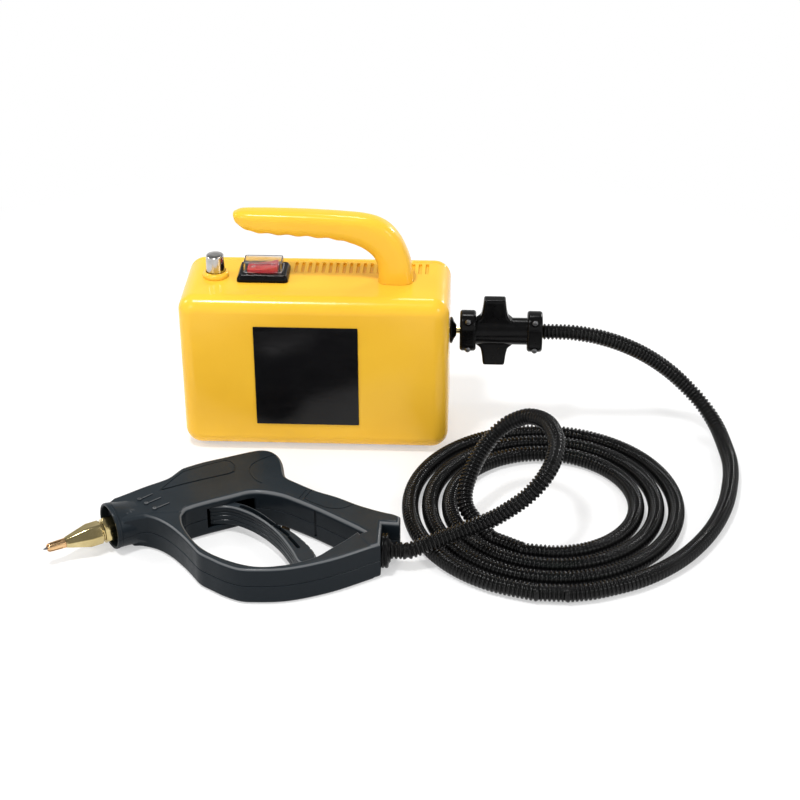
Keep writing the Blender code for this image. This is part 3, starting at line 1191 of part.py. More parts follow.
def make_coupling(base):
    axis = add_empty("coupling_axis", base, (COUPLING_START_X, BOX_MIDDLE_Y, OUTLET_Z))
    right_start = COUPLING_LENGTH - RIGHT_COLLAR_LENGTH
    barrel = turned("coupling_barrel", (
        (BARREL_RADIUS, LEFT_COLLAR_LENGTH / 2), (BARREL_RADIUS, COUPLING_LENGTH - RIGHT_COLLAR_LENGTH / 2)),
        sides=FINE_SIDES)
    blank = add_cutter("coupling_blank", coupling_block("coupling_blank", 0, LEFT_COLLAR_LENGTH), axis)
    shape_with(blank, add_cutter("coupling_barrel", barrel, axis, rotation=ALONG_X), "UNION")
    shape_with(blank, add_cutter("coupling_wings", coupling_wings("coupling_wings"), axis), "UNION")
    right_block = coupling_block("coupling_block", right_start, RIGHT_COLLAR_LENGTH)
    shape_with(blank, add_cutter("coupling_right_block", right_block, axis), "UNION")
    cavity = turned("coupling_cavity", (
        (COUPLING_LEFT_BORE, -CUT_OVERRUN),
        (COUPLING_LEFT_BORE, LEFT_COLLAR_LENGTH / 2),
        (COUPLING_CAVITY_RADIUS, LEFT_COLLAR_LENGTH / 2),
        (COUPLING_CAVITY_RADIUS, right_start + RIGHT_COLLAR_LENGTH / 3),
        (COUPLING_RIGHT_BORE, right_start + RIGHT_COLLAR_LENGTH / 3),
        (COUPLING_RIGHT_BORE, COUPLING_LENGTH + CUT_OVERRUN),
    ), sides=FINE_SIDES)
    shape_with(blank, add_cutter("coupling_cavity", cavity, axis, rotation=ALONG_X))

    depth = COLLAR_BLOCK_DEPTH
    head_y = -depth / 2 + CLAMP_SCREW_SINK
    hole = turned("clamp_hole", (
        (CLAMP_SCREW_HEAD + FIT_GAP, -CUT_OVERRUN - CLAMP_SCREW_SINK),
        (CLAMP_SCREW_HEAD + FIT_GAP, CLAMP_SCREW_HEAD_HEIGHT + FIT_GAP),
        (CLAMP_SCREW_SHANK + FIT_GAP, CLAMP_SCREW_HEAD_HEIGHT + FIT_GAP),
        (CLAMP_SCREW_SHANK + FIT_GAP, depth * 0.75),
    ), sides=10)
    places = [
        (x, side * CLAMP_SCREW_OFFSET)
        for x in (LEFT_COLLAR_LENGTH / 2, right_start + RIGHT_COLLAR_LENGTH / 2) for side in (1, -1)
    ]
    for index, (x, z) in enumerate(places):
        shape_with(blank, add_cutter("clamp_hole", hole, axis, (x, head_y, z), ALONG_Y))
        name = f"clamp_screw_{index + 1}"
        screw = screw_mesh(name, CLAMP_SCREW_SHANK, depth * 0.70, CLAMP_SCREW_HEAD, CLAMP_SCREW_HEAD_HEIGHT)
        place = (x, head_y, z)
        add_object(name, screw, STEEL, axis, place, (math.pi / 2, 0, 0))

    whole = evaluated_copy("coupling_whole", blank)
    far = WING_REACH + CUT_OVERRUN
    for name, low, high in (
            ("coupling_front_half", -FIT_GAP / 2, far), ("coupling_rear_half", -far, FIT_GAP / 2)):
        half = add_object(name, whole.copy(), BLACK_PLASTIC, axis)
        away = box_mesh("coupling_away", (-far, low, -far), (COUPLING_LENGTH + far, high, far))
        shape_with(half, add_cutter("coupling_away", away, axis))

    nut_start = LEFT_COLLAR_LENGTH / 2 + FIT_GAP
    nut = hexagon_bar("union_nut", COUPLING_CAVITY_RADIUS - FIT_GAP, UNION_NUT_LENGTH, STUB_RADIUS + FIT_GAP)
    add_object("union_nut", nut, BRASS, axis, (nut_start, 0, 0), ALONG_X)

    stub_end = OUTLET_FACE_X + STUB_REACH - COUPLING_START_X
    flange_start = max(nut_start + UNION_NUT_LENGTH, stub_end) + FIT_GAP
    shoulder_end = COUPLING_LENGTH - FIT_GAP
    tail = turned("hose_tail", (
        (STUB_BORE, flange_start),
        (COUPLING_CAVITY_RADIUS - FIT_GAP, flange_start),
        (COUPLING_CAVITY_RADIUS - FIT_GAP, flange_start + TAIL_FLANGE_LENGTH),
        (TAIL_SHOULDER_RADIUS, flange_start + TAIL_FLANGE_LENGTH),
        (TAIL_SHOULDER_RADIUS, shoulder_end),
        (TAIL_BARB_RADIUS, shoulder_end),
        (TAIL_BARB_RADIUS, shoulder_end + TAIL_BARB_LENGTH),
        (STUB_BORE, shoulder_end + TAIL_BARB_LENGTH),
    ), sides=SMALL_SIDES, bored=True)
    add_object("hose_tail", tail, BRASS, axis, rotation=ALONG_X)


# Hose

def coil_point(turn, height):
    """A place on the floor coil, counted in turns from its front."""
    angle = 2 * math.pi * turn
    half_width = COIL_HALF_WIDTH - COIL_WIDTH_STEP * turn
    half_depth = COIL_HALF_DEPTH - COIL_STEP * turn
    return Vector((COIL_MIDDLE_X - half_width * math.sin(angle), COIL_MIDDLE_Y - half_depth * math.cos(angle), height))


def coil_way(turn, height):
    """The direction in which the coil runs at that place."""
    step = 1 / (COIL_POINTS_PER_TURN * COIL_POINTS_PER_TURN)
    return (coil_point(turn + step, height) - coil_point(turn - step, height)).normalized()


def straight_run(end, way):
    """A hose's end and the straight diameter that follows it."""
    return [end, end + way * HOSE_DIAMETER * 0.65, end + way * HOSE_DIAMETER]


def ribbed_hose(name, route, pitch, base):
    """A tube with ribs along a route, with a plain bore cut through it."""
    even = smooth_route(route, pitch / 2)
    shares = [1 if index % 2 else HOSE_VALLEY_SHARE for index in range(len(even))]
    shares[0] = HOSE_VALLEY_SHARE
    shares[-1] = HOSE_VALLEY_SHARE
    hose = add_object(name, pipe_mesh(name, even, HOSE_RADIUS, 8, shares), BLACK_RUBBER, base)
    first_way = (even[1] - even[0]).normalized()
    last_way = (even[-1] - even[-2]).normalized()
    bore_route = [even[0] - first_way * CUT_OVERRUN] + even[1:-1:2] + [even[-1] + last_way * CUT_OVERRUN]
    bore = add_cutter(name + "_bore", pipe_mesh(name + "_bore", bore_route, HOSE_BORE_RADIUS, 6), base)
    shape_with(hose, bore)
    return even


def least_gap(paths):
    """Least distance between hose surfaces, not counting neighbours along the same hose."""
    near_share = 3
    travel = 0
    marks = []
    for path in paths:
        for index, point in enumerate(path):
            if index:
                travel += (point - path[index - 1]).length
            marks.append((travel, point))
    least = None
    for index, (way, point) in enumerate(marks):
        for other_way, other in marks[index + 1:]:
            if other_way - way < near_share * HOSE_DIAMETER:
                continue
            gap = (point - other).length - HOSE_DIAMETER
            if least is None or gap < least:
                least = gap
    return least


def make_hoses(base, gland_face):
    floor_height = HOSE_RADIUS + HOSE_FLOOR_GAP
    start = Vector((COUPLING_START_X + COUPLING_LENGTH + FIT_GAP, BOX_MIDDLE_Y, OUTLET_Z))
    coil_start = coil_point(0, floor_height)
    coil_end = coil_point(COIL_TURNS, floor_height)
    start_way = coil_way(0, floor_height)
    end_way = coil_way(COIL_TURNS, floor_height)
    count = round(COIL_TURNS * COIL_POINTS_PER_TURN)
    coil_route = straight_run(coil_start, start_way)
    coil_route += [coil_point(COIL_TURNS * step / count, floor_height) for step in range(2, count - 1)]
    coil_route += straight_run(coil_end, -end_way)[::-1]

    drop_end = coil_start - start_way * FIT_GAP
    drop_route = straight_run(start, Vector((1, 0, 0)))
    drop_route += [Vector((OUTLET_FACE_X + x, y, z)) for x, y, z in HOSE_DROP_ROUTE]
    drop_route += straight_run(drop_end, -start_way)[::-1]
    lead_route = straight_run(coil_end + end_way * FIT_GAP, end_way)
    lead_route += [Vector((OUTLET_FACE_X + x, y, z)) for x, y, z in HOSE_LEAD_ROUTE]
    lead_route += straight_run(gland_face + Vector((FIT_GAP, 0, 0)), Vector((1, 0, 0)))[::-1]

    paths = [
        ribbed_hose("hose_drop", drop_route, RIB_PITCH, base),
        ribbed_hose("hose_coil", coil_route, RIB_PITCH, base),
        ribbed_hose("hose_lead", lead_route, RIB_PITCH, base),
    ]
    length = sum((path[i] - path[i - 1]).length for path in paths for i in range(1, len(path)))
    print(f"hose length {length:.3f} m, least gap to itself {least_gap(paths):.5f} m")


# Gun

def gun_point(share):
    return share[0] * GUN_LENGTH, share[1] * GUN_HEIGHT


def gun_outline(*groups):
    return [gun_point(share) for group in groups for share in group]


def round_cutter(name, radius, low, high, parent, location, rotation=UPRIGHT, sides=12):
    return add_cutter(name, turned(name, ((radius, low), (radius, high)), sides), parent, location, rotation)


def gland_place():
    """Middle of the rear seat and the way out of it, in the gun's own frame."""
    upper = Vector(gun_point(GLAND_SEAT_SHARES[0]))
    lower = Vector(gun_point(GLAND_SEAT_SHARES[1]))
    middle = (upper + lower) / 2
    way = Vector((math.cos(-GUN_TURN), math.sin(-GUN_TURN)))
    return middle, way


def make_gun_shells(gun):
    body_outline = gun_outline(GUN_TOP_SHARES, GUN_BUTT_SHARES, GUN_UNDER_SHARES, GUN_CHIN_SHARES)
    blank = add_cutter("gun_blank", slab("gun_blank", body_outline, 0, GUN_THICKNESS, GUN_ROUND, steps=2), gun)
    guard_outline = gun_outline(GUARD_OUTER_SHARES, GUARD_INNER_SHARES)
    guard_low = (GUN_THICKNESS - GUARD_THICKNESS) / 2
    guard = slab("gun_guard", guard_outline, guard_low, guard_low + GUARD_THICKNESS, GUARD_ROUND, steps=1)
    shape_with(blank, add_cutter("gun_guard", guard, gun), "UNION")
    cavity = slab("gun_cavity", inset(body_outline, GUN_WALL), GUN_WALL, GUN_THICKNESS - GUN_WALL)
    shape_with(blank, add_cutter("gun_cavity", cavity, gun))

    for share in GUN_SCREW_SHARES:
        x, y = gun_point(share)
        post = round_cutter("gun_post", GUN_POST_RADIUS, GUN_WALL / 2, GUN_THICKNESS - GUN_WALL / 2, gun, (x, y, 0))
        shape_with(blank, post, "UNION")
    for share in GUN_SCREW_SHARES:
        x, y = gun_point(share)
        top = GUN_THICKNESS - GUN_SCREW_TOP_WALL
        shape_with(blank, round_cutter("gun_screw_hole", GUN_SCREW_SHANK + FIT_GAP, -CUT_OVERRUN, top, gun, (x, y, 0), sides=8))
        sink_top = screw_sink() + GUN_SCREW_HEAD_HEIGHT + FIT_GAP
        shape_with(blank, round_cutter("gun_screw_sink", GUN_SCREW_HEAD + FIT_GAP, -CUT_OVERRUN, sink_top, gun, (x, y, 0), sides=10))

    mouth_y = MOUTH_MIDDLE_SHARE * GUN_HEIGHT
    mouth = round_cutter("gun_mouth", MOUTH_RADIUS, -CUT_OVERRUN, GUN_WALL + CUT_OVERRUN, gun,
                         (0, mouth_y, GUN_MIDDLE_Z), ALONG_X, sides=FINE_SIDES)
    shape_with(blank, mouth)
    (slot_left, slot_low), (slot_right, slot_high) = (gun_point(share) for share in TRIGGER_SLOT_SHARES)
    slot_half = TRIGGER_THICKNESS / 2 + TRIGGER_SIDE_GAP
    slot = box_mesh("trigger_slot", (slot_left, slot_low, GUN_MIDDLE_Z - slot_half),
                    (slot_right, slot_high, GUN_MIDDLE_Z + slot_half))
    shape_with(blank, add_cutter("trigger_slot", slot, gun))
    pin_x, pin_y = gun_point(TRIGGER_PIN_SHARE)
    pin_hole = round_cutter("pin_hole", TRIGGER_PIN_RADIUS + FIT_GAP, GUN_WALL / 2, GUN_THICKNESS - GUN_WALL / 2,
                            gun, (pin_x, pin_y, 0))
    shape_with(blank, pin_hole)
    middle, way = gland_place()
    gland_hole = round_cutter("gland_hole", GLAND_SPIGOT_RADIUS + FIT_GAP, -GLAND_SPIGOT_LENGTH, CUT_OVERRUN, gun,
                              (middle.x, middle.y, GUN_MIDDLE_Z), (0, math.pi / 2, -GUN_TURN), sides=SMALL_SIDES)
    shape_with(blank, gland_hole)

    whole = evaluated_copy("gun_whole", blank)
    far = GUN_LENGTH + GUN_HEIGHT
    for name, low, high in (
            ("gun_shell_lower", GUN_MIDDLE_Z - FIT_GAP / 2, far), ("gun_shell_upper", -far, GUN_MIDDLE_Z + FIT_GAP / 2)):
        shell = add_object(name, whole.copy(), DARK_PLASTIC, gun)
        away = box_mesh("gun_away", (-far, -far, low), (far, far, high))
        shape_with(shell, add_cutter("gun_away", away, gun))


def screw_sink():
    """How deep the gun screws' heads start, so that the guard's lower face covers them too."""
    return (GUN_THICKNESS - GUARD_THICKNESS) / 2


def make_gun_screws(gun):
    length = GUN_THICKNESS - GUN_SCREW_TOP_WALL - screw_sink() - FIT_GAP
    for index, share in enumerate(GUN_SCREW_SHARES):
        x, y = gun_point(share)
        name = f"gun_screw_{index + 1}"
        screw = screw_mesh(name, GUN_SCREW_SHANK, length, GUN_SCREW_HEAD, GUN_SCREW_HEAD_HEIGHT)
        add_object(name, screw, STEEL, gun, (x, y, screw_sink()), UPSIDE_DOWN)


def make_trigger(gun):
    pin_x, pin_y = gun_point(TRIGGER_PIN_SHARE)
    outline = [(x - pin_x, y - pin_y) for x, y in gun_outline(TRIGGER_SHARES)]
    half = TRIGGER_THICKNESS / 2
    body = slab("trigger", outline, -half, half, TRIGGER_ROUND, steps=1)
    trigger = add_object("trigger", body, DARK_PLASTIC, gun, (pin_x, pin_y, GUN_MIDDLE_Z))
    shape_with(trigger, round_cutter("trigger_bore", TRIGGER_PIN_RADIUS + FIT_GAP, -half - CUT_OVERRUN,
                                     half + CUT_OVERRUN, gun, (pin_x, pin_y, GUN_MIDDLE_Z)))

    latch_x, latch_y = gun_point(LATCH_PIVOT_SHARE)
    slot_half = LATCH_WIDTH / 2 + FIT_GAP
    room = LATCH_EYE_RADIUS + LATCH_SLOT_GAP
    slot = box_mesh("latch_slot", (-room, -room, -slot_half),
                    (LATCH_LENGTH + LATCH_BAR, LATCH_SLOT_OPENING, slot_half))
    shape_with(trigger, add_cutter("latch_slot", slot, gun, (latch_x, latch_y, GUN_MIDDLE_Z),
                                   (0, 0, LATCH_REST_ANGLE)))
    shape_with(trigger, round_cutter("latch_bore", LATCH_PIN_RADIUS + FIT_GAP, -half - CUT_OVERRUN,
                                     half + CUT_OVERRUN, gun, (latch_x, latch_y, GUN_MIDDLE_Z), sides=10))

    spring_half = SPRING_LENGTH / 2
    ring_room = half - SPRING_LENGTH - 2 * SPRING_WIRE
    shape_with(trigger, round_cutter(
        "spring_pocket", SPRING_COIL_RADIUS + 2 * SPRING_WIRE, ring_room, half + CUT_OVERRUN, gun,
        (pin_x, pin_y, GUN_MIDDLE_Z), sides=SMALL_SIDES))
    count = SPRING_TURNS * SPRING_POINTS_PER_TURN
    coil = []
    for step in range(count + 1):
        angle = 2 * math.pi * SPRING_TURNS * step / count
        coil.append(Vector((SPRING_COIL_RADIUS * math.cos(angle), SPRING_COIL_RADIUS * math.sin(angle),
                            half - SPRING_LENGTH + SPRING_LENGTH * step / count - SPRING_WIRE)))
    spring = pipe_mesh("trigger_spring", coil, SPRING_WIRE, 4)
    add_object("trigger_spring", spring, STEEL, gun, (pin_x, pin_y, GUN_MIDDLE_Z))

    pin_length = GUN_THICKNESS - GUN_WALL - 2 * FIT_GAP
    pin = turned("trigger_pin", ((TRIGGER_PIN_RADIUS, -pin_length / 2), (TRIGGER_PIN_RADIUS, pin_length / 2)), sides=12)
    add_object("trigger_pin", pin, STEEL, gun, (pin_x, pin_y, GUN_MIDDLE_Z))


def make_latch(gun):
    """Safety latch: an eye in the trigger's slot with a short bar down the trigger's back."""
    latch_x, latch_y = gun_point(LATCH_PIVOT_SHARE)
    eye = LATCH_EYE_RADIUS
    bar = LATCH_BAR
    outline = []
    for step in range(9):
        angle = math.pi * (0.25 + 1.5 * step / 8)
        outline.append((eye * math.cos(angle), eye * math.sin(angle)))
    outline += [(LATCH_LENGTH, -bar / 2), (LATCH_LENGTH + bar / 2, 0), (LATCH_LENGTH, bar / 2)]
    cos_rest, sin_rest = math.cos(LATCH_REST_ANGLE), math.sin(LATCH_REST_ANGLE)
    laid = [(x * cos_rest - y * sin_rest, x * sin_rest + y * cos_rest) for x, y in outline]
    latch = add_object("safety_latch", slab("safety_latch", laid, -LATCH_WIDTH / 2, LATCH_WIDTH / 2),
                       BLACK_PLASTIC, gun, (latch_x, latch_y, GUN_MIDDLE_Z))
    half = TRIGGER_THICKNESS / 2 - TRIGGER_ROUND
    shape_with(latch, round_cutter("latch_stubs", LATCH_PIN_RADIUS, -half, half, gun,
                                   (latch_x, latch_y, GUN_MIDDLE_Z), sides=10), "UNION")


def make_valve_line(gun):
    collar = GUN_MIDDLE_Z - GUN_WALL - FIT_GAP
    rear = VALVE_BODY_LENGTH
    body = turned("valve_body", (
        (BARREL_PIPE_RADIUS, NOZZLE_NUT_START + NOZZLE_NUT_LENGTH + FIT_GAP - VALVE_BODY_START),
        (BARREL_PIPE_RADIUS, 0),
        (collar, 0),
        (collar, VALVE_COLLAR_LENGTH),
        (VALVE_NECK_RADIUS, VALVE_COLLAR_LENGTH),
        (VALVE_NECK_RADIUS, rear),
        (VALVE_BORE, rear),
        (VALVE_BORE, rear - PLUNGER_DEPTH - PLUNGER_TRAVEL_ROOM),
    ))
    add_object("valve_body", body, BRASS, gun, (VALVE_BODY_START, 0, GUN_MIDDLE_Z), ALONG_X)

    arm_left = gun_point(TRIGGER_SHARES[-2])[0]
    head_end = arm_left - FIT_GAP
    plunger = turned("valve_plunger", (
        (PLUNGER_RADIUS, VALVE_BODY_START + rear - PLUNGER_DEPTH - head_end),
        (PLUNGER_RADIUS, -PLUNGER_HEAD_LENGTH),
        (PLUNGER_HEAD_RADIUS, -PLUNGER_HEAD_LENGTH),
        (PLUNGER_HEAD_RADIUS, 0),
    ), sides=12)
    add_object("valve_plunger", plunger, STEEL, gun, (head_end, 0, GUN_MIDDLE_Z), ALONG_X)


def make_gland(gun):
    middle, way = gland_place()
    gland = turned("hose_gland", (
        (GLAND_BORE, -GLAND_SPIGOT_LENGTH),
        (GLAND_SPIGOT_RADIUS, -GLAND_SPIGOT_LENGTH),
        (GLAND_SPIGOT_RADIUS, FIT_GAP),
        (GLAND_RADIUS, FIT_GAP),
        (GLAND_RADIUS, GLAND_LENGTH * 0.7),
        (GLAND_RADIUS * 0.88, GLAND_LENGTH),
        (GLAND_BORE, GLAND_LENGTH),
    ), sides=FINE_SIDES, bored=True)
    place = (middle.x, middle.y, GUN_MIDDLE_Z)
    add_object("hose_gland", gland, BLACK_PLASTIC, gun, place, (0, math.pi / 2, -GUN_TURN))

    route = [Vector((*gun_point(share), GUN_MIDDLE_Z)) for share in INLET_PIPE_SHARES]
    start = middle - way * (GLAND_SPIGOT_LENGTH + FIT_GAP)
    run_in = start - way * INLET_PIPE_RUN_IN
    route = [Vector((start.x, start.y, GUN_MIDDLE_Z)), Vector((run_in.x, run_in.y, GUN_MIDDLE_Z))] + route
    pipe = pipe_mesh("inlet_pipe", smooth_route(route, INLET_PIPE_RADIUS * 3), INLET_PIPE_RADIUS, 6)
    add_object("inlet_pipe", pipe, STEEL, gun)


def make_nozzle(gun):
    nut = hexagon_bar("nozzle_nut", NOZZLE_NUT_RADIUS, NOZZLE_NUT_LENGTH, NOZZLE_BORE)
    add_object("nozzle_nut", nut, BRASS, gun, (NOZZLE_NUT_START, 0, GUN_MIDDLE_Z), ALONG_X)

    hexagon_start = NOZZLE_NUT_START - FIT_GAP - NOZZLE_HEX_LENGTH
    body = turned("nozzle_body", (
        (NOZZLE_BORE, 0),
        (NOZZLE_BORE, NOZZLE_HEX_LENGTH),
        (NOZZLE_BODY_RADIUS, NOZZLE_HEX_LENGTH),
        (NOZZLE_BODY_RADIUS, 0),
        (NOZZLE_CONE_TIP_RADIUS, -NOZZLE_CONE_LENGTH),
        (NOZZLE_BORE, -NOZZLE_CONE_LENGTH),
    ), sides=FINE_SIDES, bored=True)
    add_object("nozzle_body", body, BRASS, gun, (hexagon_start, 0, GUN_MIDDLE_Z), ALONG_X)

    tip_end = hexagon_start - NOZZLE_CONE_LENGTH - FIT_GAP
    tip = turned("nozzle_tip", (
        (NEEDLE_RADIUS * 0.4, -TIP_LENGTH - NEEDLE_REACH),
        (NEEDLE_RADIUS, -TIP_LENGTH),
        (TIP_END_RADIUS * 0.7, -TIP_LENGTH),
        (TIP_END_RADIUS, -TIP_LENGTH * 0.92),
        (TIP_ROOT_RADIUS, 0),
    ), sides=SMALL_SIDES)
    copper = add_object("nozzle_tip", tip, COPPER, gun, (tip_end, 0, GUN_MIDDLE_Z), ALONG_X)
    slit_low = NEEDLE_RADIUS + TIP_SLIT_WIDTH / 2
    slit = box_mesh("tip_slit", (-TIP_LENGTH - CUT_OVERRUN, -TIP_ROOT_RADIUS - CUT_OVERRUN, slit_low),
                    (TIP_SLIT_LENGTH - TIP_LENGTH, TIP_ROOT_RADIUS + CUT_OVERRUN, slit_low + TIP_SLIT_WIDTH))
    shape_with(copper, add_cutter("tip_slit", slit, gun, (tip_end, 0, GUN_MIDDLE_Z)))


def make_gun(base):
    """The gun, laid so that its gland's outer face is where the hose ends, which is returned."""
    middle, way = gland_place()
    face = middle + way * GLAND_LENGTH
    turned_x = face.x * math.cos(GUN_TURN) - face.y * math.sin(GUN_TURN)
    turned_y = face.x * math.sin(GUN_TURN) + face.y * math.cos(GUN_TURN)
    gun = add_empty("gun_frame", base, (HOSE_END_X - turned_x, HOSE_END_Y - turned_y, 0), (0, 0, GUN_TURN))
    make_gun_shells(gun)
    make_gun_screws(gun)
    make_trigger(gun)
    make_latch(gun)
    make_valve_line(gun)
    make_gland(gun)
    make_nozzle(gun)
    return Vector((HOSE_END_X, HOSE_END_Y, GUN_MIDDLE_Z))


def centre_footprint(base):
    """Puts the origin under the middle of the box, coupling and gun."""
    bpy.context.view_layer.update()
    graph = bpy.context.evaluated_depsgraph_get()
    low = Vector((math.inf, math.inf))
    high = Vector((-math.inf, -math.inf))
    for piece in bpy.data.objects:
        if piece.type != "MESH" or piece.hide_render or piece.name.startswith("hose_") and piece.name in HOSE_NAMES:
            continue
        shape = piece.evaluated_get(graph)
        for vertex in shape.data.vertices:
            place = shape.matrix_world @ vertex.co
            low = Vector((min(low.x, place.x), min(low.y, place.y)))
            high = Vector((max(high.x, place.x), max(high.y, place.y)))
    middle = (low + high) / 2
    base.location = (-middle.x, -middle.y, 0)
    bpy.context.view_layer.update()


HOSE_NAMES = ("hose_drop", "hose_coil", "hose_lead")


def main():
    for old in list(bpy.data.objects):
        bpy.data.objects.remove(old)
    base = add_empty("steam_cleaner", None)
    make_housing(base)
    make_rear_cover(base)
    make_feet(base)
    make_label_plate(base)
    make_filler(base)
    make_switch(base)
    make_handle(base)
    make_boiler(base)
    make_steam_line(base)
    make_mains_inlet(base)
    make_coupling(base)
    gland_face = make_gun(base)
    make_hoses(base, gland_face)
    centre_footprint(base)


main()
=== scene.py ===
"""Looks of a portable steam cleaner: a yellow box with a handle, a ribbed hose in a coil and a
trigger gun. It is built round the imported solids, in metres, in their frame."""

import json
import math

import bmesh
import bpy
from mathutils import Matrix, Vector


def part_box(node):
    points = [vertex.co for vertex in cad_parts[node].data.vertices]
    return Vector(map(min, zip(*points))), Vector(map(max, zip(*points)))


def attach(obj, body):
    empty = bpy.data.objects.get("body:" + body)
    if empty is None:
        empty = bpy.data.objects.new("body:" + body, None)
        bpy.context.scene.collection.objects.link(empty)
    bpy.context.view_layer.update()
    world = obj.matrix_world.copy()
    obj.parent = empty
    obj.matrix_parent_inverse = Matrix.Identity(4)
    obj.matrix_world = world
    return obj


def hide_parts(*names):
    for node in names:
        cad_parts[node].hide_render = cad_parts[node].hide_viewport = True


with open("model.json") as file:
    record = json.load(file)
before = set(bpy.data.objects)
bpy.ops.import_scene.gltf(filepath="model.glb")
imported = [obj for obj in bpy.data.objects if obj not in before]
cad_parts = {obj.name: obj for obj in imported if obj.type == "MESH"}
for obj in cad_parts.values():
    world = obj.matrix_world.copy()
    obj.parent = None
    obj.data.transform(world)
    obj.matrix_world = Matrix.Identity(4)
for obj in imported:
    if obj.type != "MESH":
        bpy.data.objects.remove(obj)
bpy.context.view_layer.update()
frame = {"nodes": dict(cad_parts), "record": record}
nodes = frame["nodes"]

# The drawing frame of the box has x = 0 at its middle, y = 0 at its front face, z = 0 at the floor
SHIFT = Vector((-0.00599, 0.063479, 0))
# The gap that is left between parts that touch
FIT = 0.0003
MAIN = "box_and_gun"


# Camera

LENS = 82.12
CAMERA_PLACE = Vector((0.14284, -1.41828, 0.87598))
CAMERA_RIGHT = Vector((0.99900, 0.04465, -0.00302))
CAMERA_FORWARD = Vector((-0.04018, 0.86509, -0.5))


def make_camera():
    data = bpy.data.cameras.new("camera")
    data.sensor_fit = "HORIZONTAL"
    data.sensor_width = 36.0
    data.lens = LENS
    data.clip_end = 30
    camera = link("camera", data)
    right = CAMERA_RIGHT.normalized()
    forward = CAMERA_FORWARD.normalized()
    up = right.cross(forward).normalized()
    right = forward.cross(up)
    turn = Matrix((right, up, -forward)).transposed().to_4x4()
    camera.matrix_world = Matrix.Translation(CAMERA_PLACE + SHIFT) @ turn
    bpy.context.scene.camera = camera


# Mesh helpers

def link(name, data):
    made = bpy.data.objects.new(name, data)
    bpy.context.scene.collection.objects.link(made)
    return made


def mesh_from(name, points, faces):
    mesh = bpy.data.meshes.new(name)
    mesh.from_pydata([tuple(point) for point in points], [], faces)
    work = bmesh.new()
    work.from_mesh(mesh)
    bmesh.ops.recalc_face_normals(work, faces=work.faces)
    work.to_mesh(mesh)
    work.free()
    return mesh


def skin(name, rings, ring_shape=False):
    """Joins rings of equal count: capped at both ends, or bent round into a ring."""
    count = len(rings[0])
    points = [point for ring in rings for point in ring]
    faces = []
    last = len(rings) if ring_shape else len(rings) - 1
    for index in range(last):
        start = index * count
        after = ((index + 1) % len(rings)) * count
        for side in range(count):
            beside = (side + 1) % count
            faces.append((start + side, start + beside, after + beside, after + side))
    if not ring_shape:
        faces.append(tuple(range(count)))
        faces.append(tuple(range(len(points) - count, len(points))))
    return mesh_from(name, points, faces)


def circle(radius, height, sides):
    angles = [2 * math.pi * side / sides for side in range(sides)]
    return [(radius * math.cos(angle), radius * math.sin(angle), height) for angle in angles]


def lathe(name, profile, sides=48, bored=False):
    """Turns (radius, height) points about Z."""
    return skin(name, [circle(radius, height, sides) for radius, height in profile], bored)


def rod(radius, low, high, sides=48):
    return lathe("rod", ((radius, low), (radius, high)), sides)


def bent(value, power):
    """A power that keeps the sign; below 1 it makes an oval squarer."""
    return math.copysign(abs(value) ** power, value)


def soften(profile, radius, steps=4, keep=()):
    """Rounds the corners of an open (radius, height) profile, except those kept."""
    result = [profile[0]]
    for index in range(1, len(profile) - 1):
        here = Vector(profile[index])
        before = Vector(profile[index - 1]) - here
        after = Vector(profile[index + 1]) - here
        if index in keep or before.length < 1e-7 or after.length < 1e-7:
            result.append(tuple(here))
            continue
        reach = min(radius, before.length * 0.45, after.length * 0.45)
        start = here + before.normalized() * reach
        end = here + after.normalized() * reach
        for step in range(steps + 1):
            t = step / steps
            point = start * (1 - t) ** 2 + here * 2 * t * (1 - t) + end * t ** 2
            result.append(tuple(point))
    result.append(profile[-1])
    return result


def rounded_rectangle(width, height, radius, steps=10):
    points = []
    for quarter, (side_x, side_y) in enumerate(((1, 1), (-1, 1), (-1, -1), (1, -1))):
        for step in range(steps + 1):
            angle = math.pi / 2 * (quarter + step / steps)
            points.append((side_x * (width / 2 - radius) + radius * math.cos(angle),
                           side_y * (height / 2 - radius) + radius * math.sin(angle)))
    return points


def box_mesh(name, low, high):
    points = [(x, y, z) for x in (low[0], high[0]) for y in (low[1], high[1]) for z in (low[2], high[2])]
    faces = [(0, 1, 3, 2), (4, 6, 7, 5), (0, 4, 5, 1), (2, 3, 7, 6), (0, 2, 6, 4), (1, 5, 7, 3)]
    return mesh_from(name, points, faces)


def moved(mesh, place=(0, 0, 0), turn=None):
    """The same mesh, turned and put in place in its own points."""
    matrix = Matrix.Translation(Vector(place))
    if turn is not None:
        matrix = matrix @ turn
    mesh.transform(matrix)
    return mesh


def spun(degrees, axis="Z"):
    return Matrix.Rotation(math.radians(degrees), 4, axis)


ALONG_X = Matrix.Rotation(math.pi / 2, 4, "Y")
ALONG_Y = Matrix.Rotation(-math.pi / 2, 4, "X")
FACING_FRONT = Matrix.Rotation(math.pi / 2, 4, "X")
FACING_DOWN = Matrix.Rotation(math.pi, 4, "X")


def joined(name, meshes):
    work = bmesh.new()
    for mesh in meshes:
        work.from_mesh(mesh)
    result = bpy.data.meshes.new(name)
    work.to_mesh(result)
    work.free()
    return result


def shaped(mesh, tool_mesh, operation="DIFFERENCE"):
    """The mesh after one exact boolean with another one."""
    body = link("boolean_body", mesh)
    tool = link("boolean_tool", tool_mesh)
    step = body.modifiers.new("cut", "BOOLEAN")
    step.operation = operation
    step.solver = "EXACT"
    step.object = tool
    bpy.context.view_layer.update()
    graph = bpy.context.evaluated_depsgraph_get()
    result = bpy.data.meshes.new_from_object(body.evaluated_get(graph))
    bpy.data.objects.remove(body)
    bpy.data.objects.remove(tool)
    return result


def cut(mesh, *tools):
    for tool in tools:
        mesh = shaped(mesh, tool)
    return mesh


